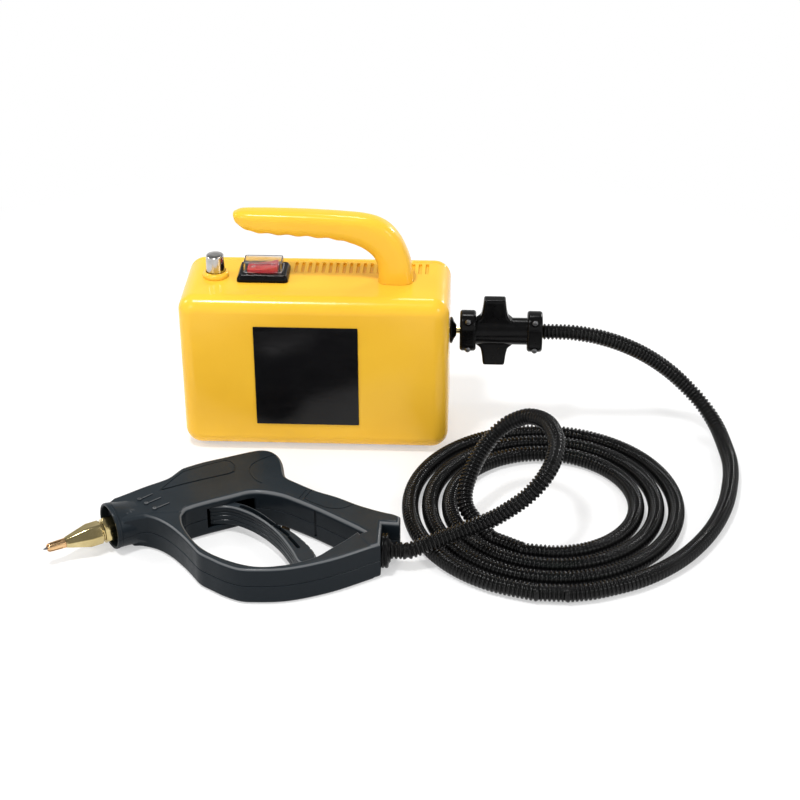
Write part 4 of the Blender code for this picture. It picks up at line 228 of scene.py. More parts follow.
def piece(name, mesh, material, slot, body=MAIN, replaces=(), sharp=35, weighted=True):
    """A finished piece: smooth shading with creases, its material, body and the solids it replaces."""
    mesh.name = name
    made = link(name, mesh)
    mesh.materials.clear()
    mesh.materials.append(material)
    mesh.shade_smooth()
    mesh.set_sharp_from_angle(angle=math.radians(sharp))
    if weighted:
        step = made.modifiers.new("normals", "WEIGHTED_NORMAL")
        step.keep_sharp = True
        step.weight = 60
    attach(made, body)
    if replaces:
        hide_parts(*replaces)
    return made


def spline_at(before, start, end, after, t):
    """A point on the Catmull-Rom stretch from start to end."""
    return 0.5 * ((2 * start) + (end - before) * t + (2 * before - 5 * start + 4 * end - after) * t ** 2
                  + (3 * start - before - 3 * end + after) * t ** 3)


def through(points, spacing=None, parts=12):
    """Points along a Catmull-Rom curve through the given ones, in stretches of even parts."""
    controls = [2 * points[0] - points[1]] + list(points) + [2 * points[-1] - points[-2]]
    spots = []
    for index in range(1, len(controls) - 2):
        if spacing:
            parts = max(1, round((controls[index + 1] - controls[index]).length / spacing))
        for part in range(parts):
            spots.append(spline_at(*controls[index - 1:index + 3], part / parts))
    return spots + [points[-1]]


def curve(points, corners=(), spacing=0.0015, clear=1e-6):
    """A smooth closed outline through the points, sharp only at the given corners, where it stays
    plain for a clear length so that it can be drawn inward."""
    spots = [Vector(point) for point in points]
    count = len(spots)
    marks = sorted(corners)
    outline = []
    for number, start in enumerate(marks):
        end = marks[(number + 1) % len(marks)]
        end += count if end <= start else 0
        run = [spots[index % count] for index in range(start, end + 1)]
        outline.append(run[0])
        if len(run) > 2:
            outline += [spot for spot in through(run, spacing)
                        if min((spot - run[0]).length, (spot - run[-1]).length) > clear]
    return outline


def turned_area(points):
    """The area inside an outline, negative where it runs clockwise."""
    parts = [points[index - 1].cross(point) for index, point in enumerate(points)]
    return sum(parts) / 2


# Points of an outline that lie nearer than this count as one
SAME_SPOT = 0.00012


def neighbour(points, index, step):
    """The nearest point in that direction that isn't at the same spot."""
    count = len(points)
    here = points[index]
    for away in range(1, count):
        other = points[(index + away * step) % count]
        if (other - here).length > SAME_SPOT:
            return other
    return here


def inset(outline, amount, parts=6):
    """The outline drawn inward by an amount in small steps, closing up what would fold over."""
    points = [Vector(point) for point in outline]
    if abs(amount) < 1e-9:
        return points
    step = amount / parts * (1 if turned_area(points) > 0 else -1)
    for _ in range(parts):
        drawn = []
        for index, point in enumerate(points):
            before = (point - neighbour(points, index, -1)).normalized()
            after = (neighbour(points, index, 1) - point).normalized()
            first, second = Vector((-before.y, before.x)), Vector((-after.y, after.x))
            lean = first + second
            if lean.length < 1e-6:
                drawn.append(point.copy())
                continue
            lean.normalize()
            drawn.append(point + lean * step / max(lean.dot(first), 0.45))
        for _ in range(3):
            for index in range(len(points)):
                after = (index + 1) % len(points)
                old = points[after] - points[index]
                new = drawn[after] - drawn[index]
                if new.length > 0 and (new.dot(old) <= 0 or new.length < SAME_SPOT):
                    drawn[index] = drawn[after] = (drawn[after] + drawn[index]) / 2
        points = drawn
    return points


def slab(name, outline, levels):
    """An outline in XY stacked up at (drawn in, height) levels."""
    shapes = {0: [Vector(point) for point in outline]}
    for sign in (1, -1):
        reached = 0
        for amount in sorted({abs(drawn) for drawn, _ in levels if drawn * sign > 0}):
            shapes[amount * sign] = inset(shapes[reached * sign], (amount - reached) * sign, 3)
            reached = amount
    mesh = skin(name, [[(x, y, level) for x, y in shapes[drawn]] for drawn, level in levels])
    work = bmesh.new()
    work.from_mesh(mesh)
    bmesh.ops.remove_doubles(work, verts=work.verts, dist=1e-6)
    bmesh.ops.recalc_face_normals(work, faces=work.faces)
    work.to_mesh(mesh)
    work.free()
    return mesh


def rounded_levels(low, high, round_low, round_high, steps=6):
    """Drawn-in amounts and heights of a slab with rounded rims."""
    levels = []
    for step in range(steps + 1 if round_low else 0):
        angle = math.pi / 2 * step / steps
        levels.append((round_low * (1 - math.sin(angle)), low + round_low * (1 - math.cos(angle))))
    if not round_low:
        levels.append((0, low))
    for step in range(steps, -1, -1) if round_high else ():
        angle = math.pi / 2 * step / steps
        levels.append((round_high * (1 - math.sin(angle)), high - round_high * (1 - math.cos(angle))))
    if not round_high:
        levels.append((0, high))
    return levels


def smooth_route(points, spacing):
    """Even points along a Catmull-Rom curve through the given ones, ends kept."""
    fine = through(points)
    travel = [0.0]
    for index in range(1, len(fine)):
        travel.append(travel[-1] + (fine[index] - fine[index - 1]).length)
    count = max(2, round(travel[-1] / spacing))
    even = []
    index = 0
    for step in range(count + 1):
        target = travel[-1] * step / count
        while index < len(fine) - 2 and travel[index + 1] < target:
            index += 1
        span = travel[index + 1] - travel[index]
        even.append(fine[index].lerp(fine[index + 1], (target - travel[index]) / span))
    return even


def tube(name, route, radius_at, sides):
    """A tube along even route points; radius_at gives the radius at each point's number."""
    rings = []
    previous = None
    for index, point in enumerate(route):
        ahead = route[min(index + 1, len(route) - 1)] - point
        behind = point - route[max(index - 1, 0)]
        along = (ahead + behind).normalized()
        if previous is None:
            helper = Vector((0, 0, 1)) if abs(along.z) < 0.9 else Vector((1, 0, 0))
            side_way = along.cross(helper).normalized()
        else:
            side_way = (previous - along * previous.dot(along)).normalized()
        previous = side_way
        up_way = along.cross(side_way)
        radius = radius_at(index)
        ring = []
        for side in range(sides):
            angle = 2 * math.pi * side / sides
            ring.append(point + (side_way * math.cos(angle) + up_way * math.sin(angle)) * radius)
        rings.append(ring)
    return skin(name, rings)


# Materials

def wired(tree, kind, sockets, **settings):
    """A new shader node, its inputs set to values or linked to the outputs of other nodes."""
    node = tree.nodes.new("ShaderNode" + kind)
    for name, value in settings.items():
        setattr(node, name, value)
    for key, value in sockets.items():
        if isinstance(value, bpy.types.NodeSocket):
            tree.links.new(value, node.inputs[key])
        else:
            node.inputs[key].default_value = value
    return node


def greater(tree, first, second):
    return wired(tree, "Math", {0: first, 1: second}, operation="MAXIMUM").outputs[0]


def seen_rays(tree):
    """1 for what the camera, glossy and clear surfaces see, 0 for soft light."""
    ray = wired(tree, "LightPath", {}).outputs
    seen = greater(tree, ray["Is Camera Ray"], ray["Is Glossy Ray"])
    return greater(tree, seen, ray["Is Transmission Ray"])


class Surface:
    """Builds one procedural material step by step on a Principled shader."""

    def __init__(self, name, **fixed):
        self.material = bpy.data.materials.new(name)
        self.material.use_nodes = True
        self.tree = self.material.node_tree
        self.shader = self.tree.nodes["Principled BSDF"]
        for key, value in fixed.items():
            self.shader.inputs[key.replace("_", " ")].default_value = value
        self.place = self.node("TexCoord", {})
        self.normal = None

    def node(self, kind, sockets, **settings):
        return wired(self.tree, kind, sockets, **settings)

    def noise(self, scale, detail=3.0, roughness=0.5, stretch=None, distortion=0.0):
        source = self.place.outputs["Object"]
        if stretch:
            source = self.node("Mapping", {"Vector": source, "Scale": stretch}).outputs["Vector"]
        texture = self.node("TexNoise", {"Vector": source, "Scale": scale, "Detail": detail,
                                         "Roughness": roughness, "Distortion": distortion})
        return texture.outputs["Fac"]

    def ramp(self, value, stops):
        """Maps a value to colours at (position, colour) stops."""
        node = self.node("ValToRGB", {"Fac": value})
        elements = node.color_ramp.elements
        while len(elements) < len(stops):
            elements.new(0.5)
        for element, (position, colour) in zip(elements, stops):
            element.position = position
            element.color = (*colour, 1)
        return node.outputs["Color"]

    def span(self, value, low, high, start=0.3, end=0.7):
        """Maps a value from start..end to low..high."""
        return self.node("MapRange", {"Value": value, "From Min": start, "From Max": end,
                                      "To Min": low, "To Max": high}).outputs["Result"]

    def product(self, first, second):
        return self.node("Math", {0: first, 1: second}, operation="MULTIPLY").outputs["Value"]

    def mix(self, factor, under, colour):
        """A plain colour over the one under it, by a factor."""
        return self.node("Mix", {0: factor, 6: under, 7: (*colour, 1)}, data_type="RGBA").outputs[2]

    def axes(self, output):
        """X, Y and Z of the place (Object) or of the face's direction (Normal)."""
        return self.node("SeparateXYZ", {"Vector": self.place.outputs[output]}).outputs

    def painted_highlight_rims(self, low, way, reach):
        """Mask of the painted highlight on the rounded upper edges: tilted faces above a height, past a line
        across the way.
        """
        facing = self.axes("Normal")["Z"]
        tilted = self.product(self.span(facing, 0, 1, 0.38, 0.62), self.span(facing, 1, 0, 0.88, 0.95))
        along = self.node("VectorMath", {0: self.place.outputs["Object"], 1: way}, operation="DOT_PRODUCT")
        above = self.span(self.axes("Object")["Z"], 0, 1, low, low + 0.002)
        past = self.span(along.outputs["Value"], 0, 1, *reach)
        return self.product(tilted, self.product(above, past))

    def painted_shade_steep_faces(self):
        """Mask of the painted shade: faces that look sideways or down, which are painted darker than the upward
        ones.
        """
        return self.span(self.axes("Normal")["Z"], 1, 0, 0.15, 0.45)

    def bump(self, value, strength, distance):
        sockets = {"Height": value, "Strength": strength, "Distance": distance}
        if self.normal is not None:
            sockets["Normal"] = self.normal
        self.normal = self.node("Bump", sockets).outputs["Normal"]

    def finish(self, colour, roughness):
        for name, value in (("Base Color", colour), ("Roughness", roughness), ("Normal", self.normal)):
            if value is not None:
                self.tree.links.new(value, self.shader.inputs[name])
        return self.material


def yellow_plastic():
    """Gloss moulded plastic: faint flow marks, a soft orange peel, handling marks in the gloss."""
    look = Surface("yellow_gloss", IOR=1.48, Specular_IOR_Level=0.26)
    flow = look.noise(7.0, 2.0, 0.45, (1.0, 0.5, 1.6))
    colour = look.ramp(flow, ((0.30, (0.815, 0.455, 0.032)), (0.55, (0.865, 0.500, 0.040)),
                              (0.75, (0.900, 0.540, 0.050))))
    specks = look.noise(900.0, 2.0, 0.6)
    colour = look.mix(look.span(specks, 0.0, 0.10, 0.66, 0.80), colour, (0.62, 0.33, 0.030))
    marks = look.noise(38.0, 6.0, 0.65, (1.0, 1.0, 3.0), 0.6)
    rough = look.span(marks, 0.14, 0.26, 0.35, 0.70)
    look.bump(look.noise(16.0, 2.0, 0.4), 0.10, 0.0015)
    look.bump(look.noise(260.0, 2.0, 0.5), 0.05, 0.0003)
    return look.finish(colour, rough)


def black_gloss():
    """Gloss black plastic, with dust and fine scuffs."""
    look = Surface("black_gloss", IOR=1.45, Specular_IOR_Level=0.13)
    dust = look.noise(60.0, 5.0, 0.65, None, 0.4)
    colour = look.ramp(dust, ((0.35, (0.0022, 0.0022, 0.0024)), (0.80, (0.0060, 0.0060, 0.0063))))
    scuffs = look.noise(90.0, 7.0, 0.7, (1.0, 4.0, 1.0), 0.8)
    rough = look.span(scuffs, 0.13, 0.25, 0.35, 0.72)
    look.bump(look.noise(420.0, 3.0, 0.5), 0.04, 0.0002)
    return look.finish(colour, rough)


def plate_black():
    """Deep gloss black of the bare front plate, with faint wiping marks."""
    look = Surface("plate_gloss", IOR=1.45, Specular_IOR_Level=0.30)
    haze = look.noise(9.0, 3.0, 0.5, (1.0, 1.0, 0.4))
    colour = look.ramp(haze, ((0.35, (0.0030, 0.0030, 0.0034)), (0.75, (0.0062, 0.0062, 0.0068))))
    wipes = look.noise(34.0, 6.0, 0.7, (1.0, 1.0, 5.0), 0.5)
    look.bump(look.noise(30.0, 2.0, 0.4), 0.03, 0.0006)
    return look.finish(colour, look.span(wipes, 0.10, 0.24, 0.35, 0.72))


def hose_black():
    """Shiny ribbed hose: black, a little dustier in places."""
    look = Surface("hose_gloss", IOR=1.48, Specular_IOR_Level=0.22)
    dust = look.noise(22.0, 4.0, 0.6)
    colour = look.ramp(dust, ((0.35, (0.0022, 0.0022, 0.0023)), (0.75, (0.0058, 0.0057, 0.0056))))
    rough = look.span(look.noise(120.0, 5.0, 0.65), 0.08, 0.17, 0.35, 0.70)
    look.bump(look.noise(700.0, 2.0, 0.5), 0.03, 0.0001)
    return look.finish(colour, rough)


# The gun's length runs this way; the painted highlight on its rounded upper edges begins past its muzzle, above
# a height
GUN_WAY = (0.8358, 0.5490, 0.0)
PAINTED_HIGHLIGHT_START = (-0.167, -0.157)
PAINTED_HIGHLIGHT_HEIGHT = 0.022


def dark_plastic():
    """Blue-grey moulded plastic with a fine spark-eroded grain, painted shade on its sideways and downward
    faces and a painted highlight on its rounded upper edges.
    """
    look = Surface("dark_satin", IOR=1.46, Specular_IOR_Level=0.06, Coat_Weight=0.14, Coat_Roughness=0.15)
    flow = look.noise(24.0, 4.0, 0.6)
    colour = look.ramp(flow, ((0.30, (0.0150, 0.0200, 0.0245)), (0.70, (0.0205, 0.0265, 0.0320))))
    # Painted shade: sideways and downward faces are darkened
    colour = look.mix(look.painted_shade_steep_faces(), colour, (0.0085, 0.0120, 0.0155))
    # Painted highlight: the rounded upper edges are painted light grey
    colour = look.mix(look.painted_highlight_rims(PAINTED_HIGHLIGHT_HEIGHT, GUN_WAY, PAINTED_HIGHLIGHT_START), colour, (0.118, 0.123, 0.128))
    grain = look.noise(2100.0, 2.0, 0.6)
    rough = look.span(look.noise(150.0, 5.0, 0.65), 0.32, 0.46, 0.35, 0.70)
    look.bump(grain, 0.35, 0.00018)
    return look.finish(colour, rough)


def metal(name, colours, rough_low, rough_high, turned_axis=None, bump=0.15, patches=110.0):
    """Turned or brushed metal: fine tool marks, patches of tarnish."""
    look = Surface(name, Metallic=1.0)
    tarnish = look.noise(patches, 5.0, 0.6, None, 0.3)
    colour = look.ramp(tarnish, ((0.30, colours[0]), (0.55, colours[1]), (0.80, colours[2])))
    stretch = [14.0 if axis == turned_axis else 1.0 for axis in "XYZ"]
    marks = look.noise(420.0, 4.0, 0.6, stretch)
    rough = look.span(marks, rough_low, rough_high, 0.30, 0.72)
    look.bump(marks, bump, 0.00015)
    return look.finish(colour, rough)


def rubber(name, colours, rough=(0.55, 0.80)):
    look = Surface(name, Specular_IOR_Level=0.3)
    colour = look.ramp(look.noise(85.0, 4.0, 0.6), ((0.30, colours[0]), (0.75, colours[1])))
    look.bump(look.noise(900.0, 3.0, 0.6), 0.30, 0.0002)
    return look.finish(colour, look.span(look.noise(200.0, 4.0, 0.6), *rough))


def plain_plastic(name, colours, rough=(0.4, 0.6)):
    look = Surface(name)
    colour = look.ramp(look.noise(70.0, 4.0, 0.6), ((0.30, colours[0]), (0.75, colours[1])))
    look.bump(look.noise(1200.0, 3.0, 0.6), 0.20, 0.0002)
    return look.finish(colour, look.span(look.noise(160.0, 4.0, 0.6), *rough))


def clear_silicone():
    """The clear splash boot, a little hazy."""
    look = Surface("clear_silicone", IOR=1.41, Transmission_Weight=1.0)
    colour = look.ramp(look.noise(120.0, 3.0, 0.5), ((0.3, (0.90, 0.91, 0.92)), (0.8, (0.97, 0.97, 0.97))))
    look.bump(look.noise(260.0, 3.0, 0.5), 0.06, 0.0003)
    return look.finish(colour, look.span(look.noise(180.0, 4.0, 0.6), 0.03, 0.16))


def lit_red():
    """The rocker's red, which its lamp lets glow faintly."""
    look = Surface("lit_red", IOR=1.49, Emission_Color=(1.0, 0.02, 0.03, 1.0), Emission_Strength=0.22)
    streaks = look.noise(150.0, 3.0, 0.5)
    colour = look.ramp(streaks, ((0.3, (0.34, 0.003, 0.008)), (0.8, (0.52, 0.008, 0.015))))
    look.bump(look.noise(500.0, 2.0, 0.5), 0.06, 0.0003)
    return look.finish(colour, look.span(look.noise(220.0, 4.0, 0.6), 0.12, 0.28))


YELLOW = yellow_plastic()
BLACK = black_gloss()
HOSE = hose_black()
DARK = dark_plastic()
CHROME = metal("chrome_polished", ((0.40, 0.39, 0.38), (0.52, 0.51, 0.50), (0.62, 0.61, 0.60)),
               0.09, 0.22, "Z", 0.06)
STEEL = metal("steel_satin", ((0.42, 0.42, 0.43), (0.55, 0.55, 0.56), (0.63, 0.63, 0.63)), 0.24, 0.44)
ALUMINIUM = metal("aluminium_cast", ((0.52, 0.52, 0.53), (0.66, 0.66, 0.67), (0.74, 0.74, 0.75)),
                  0.34, 0.56, None, 0.4)
BRASS = metal("brass_turned", ((0.52, 0.410, 0.185), (0.60, 0.485, 0.235), (0.69, 0.570, 0.300)),
              0.09, 0.20, "X", 0.05, 60.0)
COPPER = metal("copper_turned", ((0.62, 0.34, 0.155), (0.74, 0.46, 0.230), (0.82, 0.56, 0.310)),
               0.14, 0.28, "X", 0.10)
GREY = plain_plastic("grey_moulded", ((0.17, 0.17, 0.17), (0.23, 0.23, 0.23)))
RUBBER = rubber("black_rubber_matte", ((0.010, 0.010, 0.010), (0.024, 0.024, 0.024)))
RED_RUBBER = rubber("red_silicone_matte", ((0.36, 0.050, 0.032), (0.48, 0.078, 0.052)), (0.45, 0.65))
CLEAR = clear_silicone()
RED = lit_red()
WHITE = plain_plastic("white_mark", ((0.70, 0.70, 0.70), (0.80, 0.80, 0.80)), (0.3, 0.45))
PLATE = plate_black()
DARK_STEEL = metal("steel_blackened", ((0.10, 0.10, 0.105), (0.20, 0.20, 0.205), (0.32, 0.32, 0.33)),
                   0.22, 0.42)
BY_SLOT = {
    "yellow_plastic": YELLOW, "black_plastic": BLACK, "dark_plastic": DARK, "grey_plastic": GREY,
    "clear_silicone": CLEAR, "red_plastic": RED, "black_rubber": RUBBER, "hose_black": HOSE,
    "red_silicone": RED_RUBBER, "chrome": CHROME, "steel": STEEL, "aluminium": ALUMINIUM,
    "brass": BRASS, "copper": COPPER,
}


def dress_solids():
    """Gives each carried-over solid the procedural finish of its slot."""
    for entry in frame["record"]["subparts"]:
        solid = nodes[entry["node"]]
        solid.data.materials.clear()
        solid.data.materials.append(BY_SLOT[entry["material_slot"]])


# Hose

HOSE_DIAMETER = 0.0144
HOSE_FLOOR = HOSE_DIAMETER / 2 + FIT
RIB_PITCH = 0.0036
# Share of the radius along one rib
RIB_SHAPE = (0.770, 0.790, 0.915, 0.985, 1.0, 1.0, 0.985, 0.915, 0.790)
HOSE_EXIT = Vector((0.2042, 0.0480, 0.1030))
HOSE_END = Vector((0.0774, -0.1798, 0.0170))
OUTLET_FACE = 0.120
# Routes from the coupling to the coil and from the coil to the gun, with x from the outlet face
DROP = (
    (0.1140, 0.0484, 0.1020), (0.1360, 0.0505, 0.0970), (0.1590, 0.0545, 0.0873), (0.1810, 0.0585, 0.0742),
    (0.2020, 0.0600, 0.0585), (0.2200, 0.0570, 0.0425), (0.2350, 0.0480, 0.0285), (0.2460, 0.0320, 0.0170),
    (0.2519, 0.0090, 0.0095), (0.2538, -0.0180, 0.0077), (0.2504, -0.0500, 0.0075), (0.2410, -0.0900, 0.0075),
    (0.2235, -0.1310, 0.0075), (0.1980, -0.1680, 0.0075), (0.1650, -0.1970, 0.0075), (0.1280, -0.2150, 0.0075),
)
LEAD = (
    (0.0390, -0.1450, 0.0085), (0.0270, -0.1300, 0.0140), (0.0185, -0.1185, 0.0210), (0.0172, -0.1080, 0.0300),
    (0.0208, -0.0965, 0.0385), (0.0273, -0.0830, 0.0480), (0.0364, -0.0705, 0.0570), (0.0457, -0.0640, 0.0650),
    (0.0565, -0.0630, 0.0735), (0.0719, -0.0700, 0.0830), (0.0870, -0.0904, 0.0880), (0.0925, -0.1220, 0.0875),
    (0.0865, -0.1480, 0.0795), (0.0704, -0.1645, 0.0650), (0.0466, -0.1687, 0.0470), (0.0278, -0.1685, 0.0360),
    (0.0098, -0.1705, 0.0285), (-0.0060, -0.1740, 0.0235), (-0.0170, -0.1770, 0.0200),
)
COIL_TURNS = 3.08
COIL_POINTS = 36
# Middle of the coil, its reach to the side and to the front, and how much of that each turn draws in
COIL_MIDDLE = (0.2090, -0.0910)
COIL_REACH = (0.1234, 0.1297)
COIL_SHRINK = (0.0172, 0.0184)


def coil_point(turn):
    """A point of the flat coil, which draws in with every turn."""
    angle = 2 * math.pi * turn
    return Vector((COIL_MIDDLE[0] - (COIL_REACH[0] - COIL_SHRINK[0] * turn) * math.sin(angle),
                   COIL_MIDDLE[1] - (COIL_REACH[1] - COIL_SHRINK[1] * turn) * math.cos(angle), HOSE_FLOOR))


def straight_run(end, way):
    """Three points that keep the hose straight where it leaves or joins."""
    return [end, end + way * HOSE_DIAMETER * 0.65, end + way * HOSE_DIAMETER]


def make_hose():
    """The whole hose in one piece, from the coupling through the coil to the gun."""
    right = Vector((1, 0, 0))
    step = 1 / (COIL_POINTS * COIL_POINTS)
    start_way = (coil_point(step) - coil_point(-step)).normalized()
    end_way = (coil_point(COIL_TURNS + step) - coil_point(COIL_TURNS - step)).normalized()
    count = round(COIL_TURNS * COIL_POINTS)
    controls = straight_run(HOSE_EXIT, right)
    controls += [Vector((OUTLET_FACE + x, y, z)) for x, y, z in DROP]
    controls += straight_run(coil_point(0), -start_way)[:0:-1]
    controls += straight_run(coil_point(0), start_way)
    controls += [coil_point(COIL_TURNS * index / count) for index in range(2, count - 1)]
    controls += straight_run(coil_point(COIL_TURNS), -end_way)[::-1]
    controls += straight_run(coil_point(COIL_TURNS), end_way)[1:]
    controls += [Vector((OUTLET_FACE + x, y, z)) for x, y, z in LEAD]
    controls += straight_run(HOSE_END + right * FIT, right)[::-1]
    controls = [point + SHIFT for point in controls]
    route = smooth_route(controls, RIB_PITCH / len(RIB_SHAPE))
    radius = HOSE_DIAMETER / 2
    mesh = tube("hose", route, lambda index: radius * RIB_SHAPE[index % len(RIB_SHAPE)], 24)
    hose = piece("hose", mesh, HOSE, "hose_black", replaces=("hose_drop", "hose_coil", "hose_lead"),
                 sharp=180, weighted=False)


# Box

BOX_WIDTH, BOX_DEPTH, BOX_HEIGHT = 0.240, 0.096, 0.150
BOX_LOW, BOX_TOP = 0.003, 0.153
BOX_MIDDLE_Z = BOX_LOW + BOX_HEIGHT / 2
BOX_MIDDLE_Y = BOX_DEPTH / 2
WALL = 0.0026
EDGE, CORNER = 0.0135, 0.0150
COVER_DEPTH, COVER_EDGE = 0.0120, 0.0095
SEAM_Y = BOX_DEPTH - COVER_DEPTH
POST_INSET = 0.016
SLOT_COUNT, SLOT_PITCH, SLOT_FIRST_X = 20, 0.00625, -0.0200
SLOT_WIDTH, SLOT_LENGTH = 0.0026, 0.0210
SLOT_BACK = SEAM_Y - 0.0035
SLOT_FLOOR = 0.0006
# Heights of an air slot from its thin floor up, and how far it flares there
SLOT_LEVELS = ((-WALL + SLOT_FLOOR, 0), (-0.00045, 0), (0.0001, 0.00038), (0.0012, 0.0010))
FILLER = Vector((-0.0906, 0.0500, 0))
SWITCH = Vector((-0.04755, 0.0525, BOX_TOP + FIT))
SWITCH_HOLE = Vector((0.01725, 0.0108, 0))
OUTLET = Vector((BOX_WIDTH / 2, BOX_MIDDLE_Y, 0.1030))
INLET = Vector((-0.0700, BOX_DEPTH, 0.0360))


def tub_rings(levels):
    """The box's outline, drawn in by an amount at each depth behind the front face."""
    rings = []
    for drawn_in, y in levels:
        width, height = BOX_WIDTH - 2 * drawn_in, BOX_HEIGHT - 2 * drawn_in
        outline = rounded_rectangle(width, height, CORNER - drawn_in, 12)
        rings.append([(x, y, z + BOX_MIDDLE_Z) for x, z in outline])
    return rings


def air_slot(x):
    rings = []
    for level, flare in SLOT_LEVELS:
        outline = rounded_rectangle(SLOT_WIDTH + 2 * flare, SLOT_LENGTH + 2 * flare, 0.0012 + flare, 4)
        rings.append([(x + px, SLOT_BACK - SLOT_LENGTH / 2 + py, BOX_TOP + level) for px, py in outline])
    return skin("slot", rings)


def make_housing():
    levels = rounded_levels(0, SEAM_Y - 0.0006, EDGE, 0, 12)
    levels += [(0.0002, SEAM_Y - 0.0002), (0.0006, SEAM_Y), (WALL, SEAM_Y)]
    inside = rounded_levels(0, 0, EDGE - WALL, 0, 6)[:-1]
    levels += [(WALL + drawn, WALL + level) for drawn, level in reversed(inside)]
    tub = skin("tub", tub_rings(levels))
    cuts = [air_slot(SLOT_FIRST_X + index * SLOT_PITCH) for index in range(SLOT_COUNT)]
    cuts.append(moved(rod(0.0086, -0.005, 0.002), FILLER + Vector((0, 0, BOX_TOP))))
    cuts.append(box_mesh("switch_hole", (SWITCH.x - SWITCH_HOLE.x, SWITCH.y - SWITCH_HOLE.y, BOX_TOP - 0.005),
                         (SWITCH.x + SWITCH_HOLE.x, SWITCH.y + SWITCH_HOLE.y, BOX_TOP + 0.002)))
    tub = cut(tub, joined("cuts", cuts), moved(rod(0.0063, -0.005, 0.002), OUTLET, ALONG_X))
    piece("housing", moved(tub, SHIFT), YELLOW, "yellow_plastic", replaces=("housing_shell",), sharp=40)


def make_back_cover():
    rim = SEAM_Y + FIT
    lip = WALL + FIT
    rounded = rounded_levels(0, BOX_DEPTH - rim - 0.0006, COVER_EDGE, 0, 12)
    levels = [(drawn, BOX_DEPTH - depth) for drawn, depth in rounded]
    levels += [(0.0002, rim + 0.0002), (0.0006, rim), (lip, rim), (lip, SEAM_Y - 0.005),
               (lip + 0.002, SEAM_Y - 0.005), (lip + 0.002, BOX_DEPTH - WALL)]
    sink = lathe("sink", soften(((0.0018, -0.006), (0.0018, -0.0023), (0.0033, -0.0023), (0.0033, -0.0004),
                                 (0.0042, 0.0012)), 0.0001), 32)
    holes = []
    for side_x in (-1, 1):
        for side_z in (-1, 1):
            place = (side_x * (BOX_WIDTH / 2 - POST_INSET), BOX_DEPTH,
                     BOX_MIDDLE_Z + side_z * (BOX_HEIGHT / 2 - POST_INSET))
            holes.append(moved(sink.copy(), place, ALONG_Y))
    holes.append(moved(rod(0.0065, -0.005, 0.002), INLET, ALONG_Y))
    cover = cut(skin("cover", tub_rings(levels)), joined("holes", holes))
    piece("back_cover", moved(cover, SHIFT), YELLOW, "yellow_plastic", replaces=("rear_cover",), sharp=40)


# Handle

HANDLE_FOOT = Vector((0.0712, BOX_MIDDLE_Y, BOX_TOP + FIT))
HANDLE_REACH, HANDLE_RISE, HANDLE_DEPTH = 0.143, 0.0655, 0.024
HANDLE_SIDES = 48
HANDLE_SQUARENESS = 0.62
# The finger waves run from this row to that row under the grip
WAVE_ROWS = (6.6, 13.0)
WAVE_PITCH, WAVE_DEPTH = 0.0172, 0.0013
# Upper edge, lower edge and share of the depth, from the foot to the free end
HANDLE_EDGES = (
    ((-0.112, 0.000), (0.109, 0.000), 1.0), ((-0.109, 0.090), (0.108, 0.100), 1.0),
    ((-0.098, 0.270), (0.110, 0.205), 1.0), ((-0.072, 0.450), (0.122, 0.310), 1.0),
    ((-0.030, 0.640), (0.148, 0.400), 1.0), ((0.030, 0.800), (0.195, 0.485), 1.0),
    ((0.105, 0.900), (0.250, 0.545), 0.99), ((0.200, 0.950), (0.315, 0.588), 0.98),
    ((0.320, 0.973), (0.390, 0.614), 0.97), ((0.460, 0.990), (0.490, 0.634), 0.96),
    ((0.600, 1.000), (0.600, 0.650), 0.95), ((0.740, 1.004), (0.735, 0.666), 0.93),
    ((0.860, 1.004), (0.850, 0.690), 0.88), ((0.950, 0.998), (0.925, 0.738), 0.78),
    ((0.993, 0.968), (0.978, 0.820), 0.52),
)


def blended(values, position):
    """The Catmull-Rom value at a fractional index of a list of vectors."""
    index = min(int(position), len(values) - 2)
    before = values[max(index - 1, 0)]
    after = values[min(index + 2, len(values) - 1)]
    return spline_at(before, values[index], values[index + 1], after, position - index)


def finger_wave(position, x):
    start, end = WAVE_ROWS
    if not start < position < end:
        return 0.0
    fade = min(1.0, (position - start) / 0.8, (end - position) / 0.8)
    travel = (HANDLE_FOOT.x - x) / WAVE_PITCH
    return WAVE_DEPTH * fade * (0.5 - 0.5 * math.cos(2 * math.pi * travel))


def handle_ring(top, low, depth):
    middle, half = (top + low) / 2, (top - low) / 2
    ring = []
    for side in range(HANDLE_SIDES):
        angle = 2 * math.pi * (side + 0.5) / HANDLE_SIDES
        spot = middle + half * bent(math.sin(angle), HANDLE_SQUARENESS)
        ring.append((spot.x, HANDLE_FOOT.y + depth * bent(math.cos(angle), HANDLE_SQUARENESS), spot.y))
    return ring


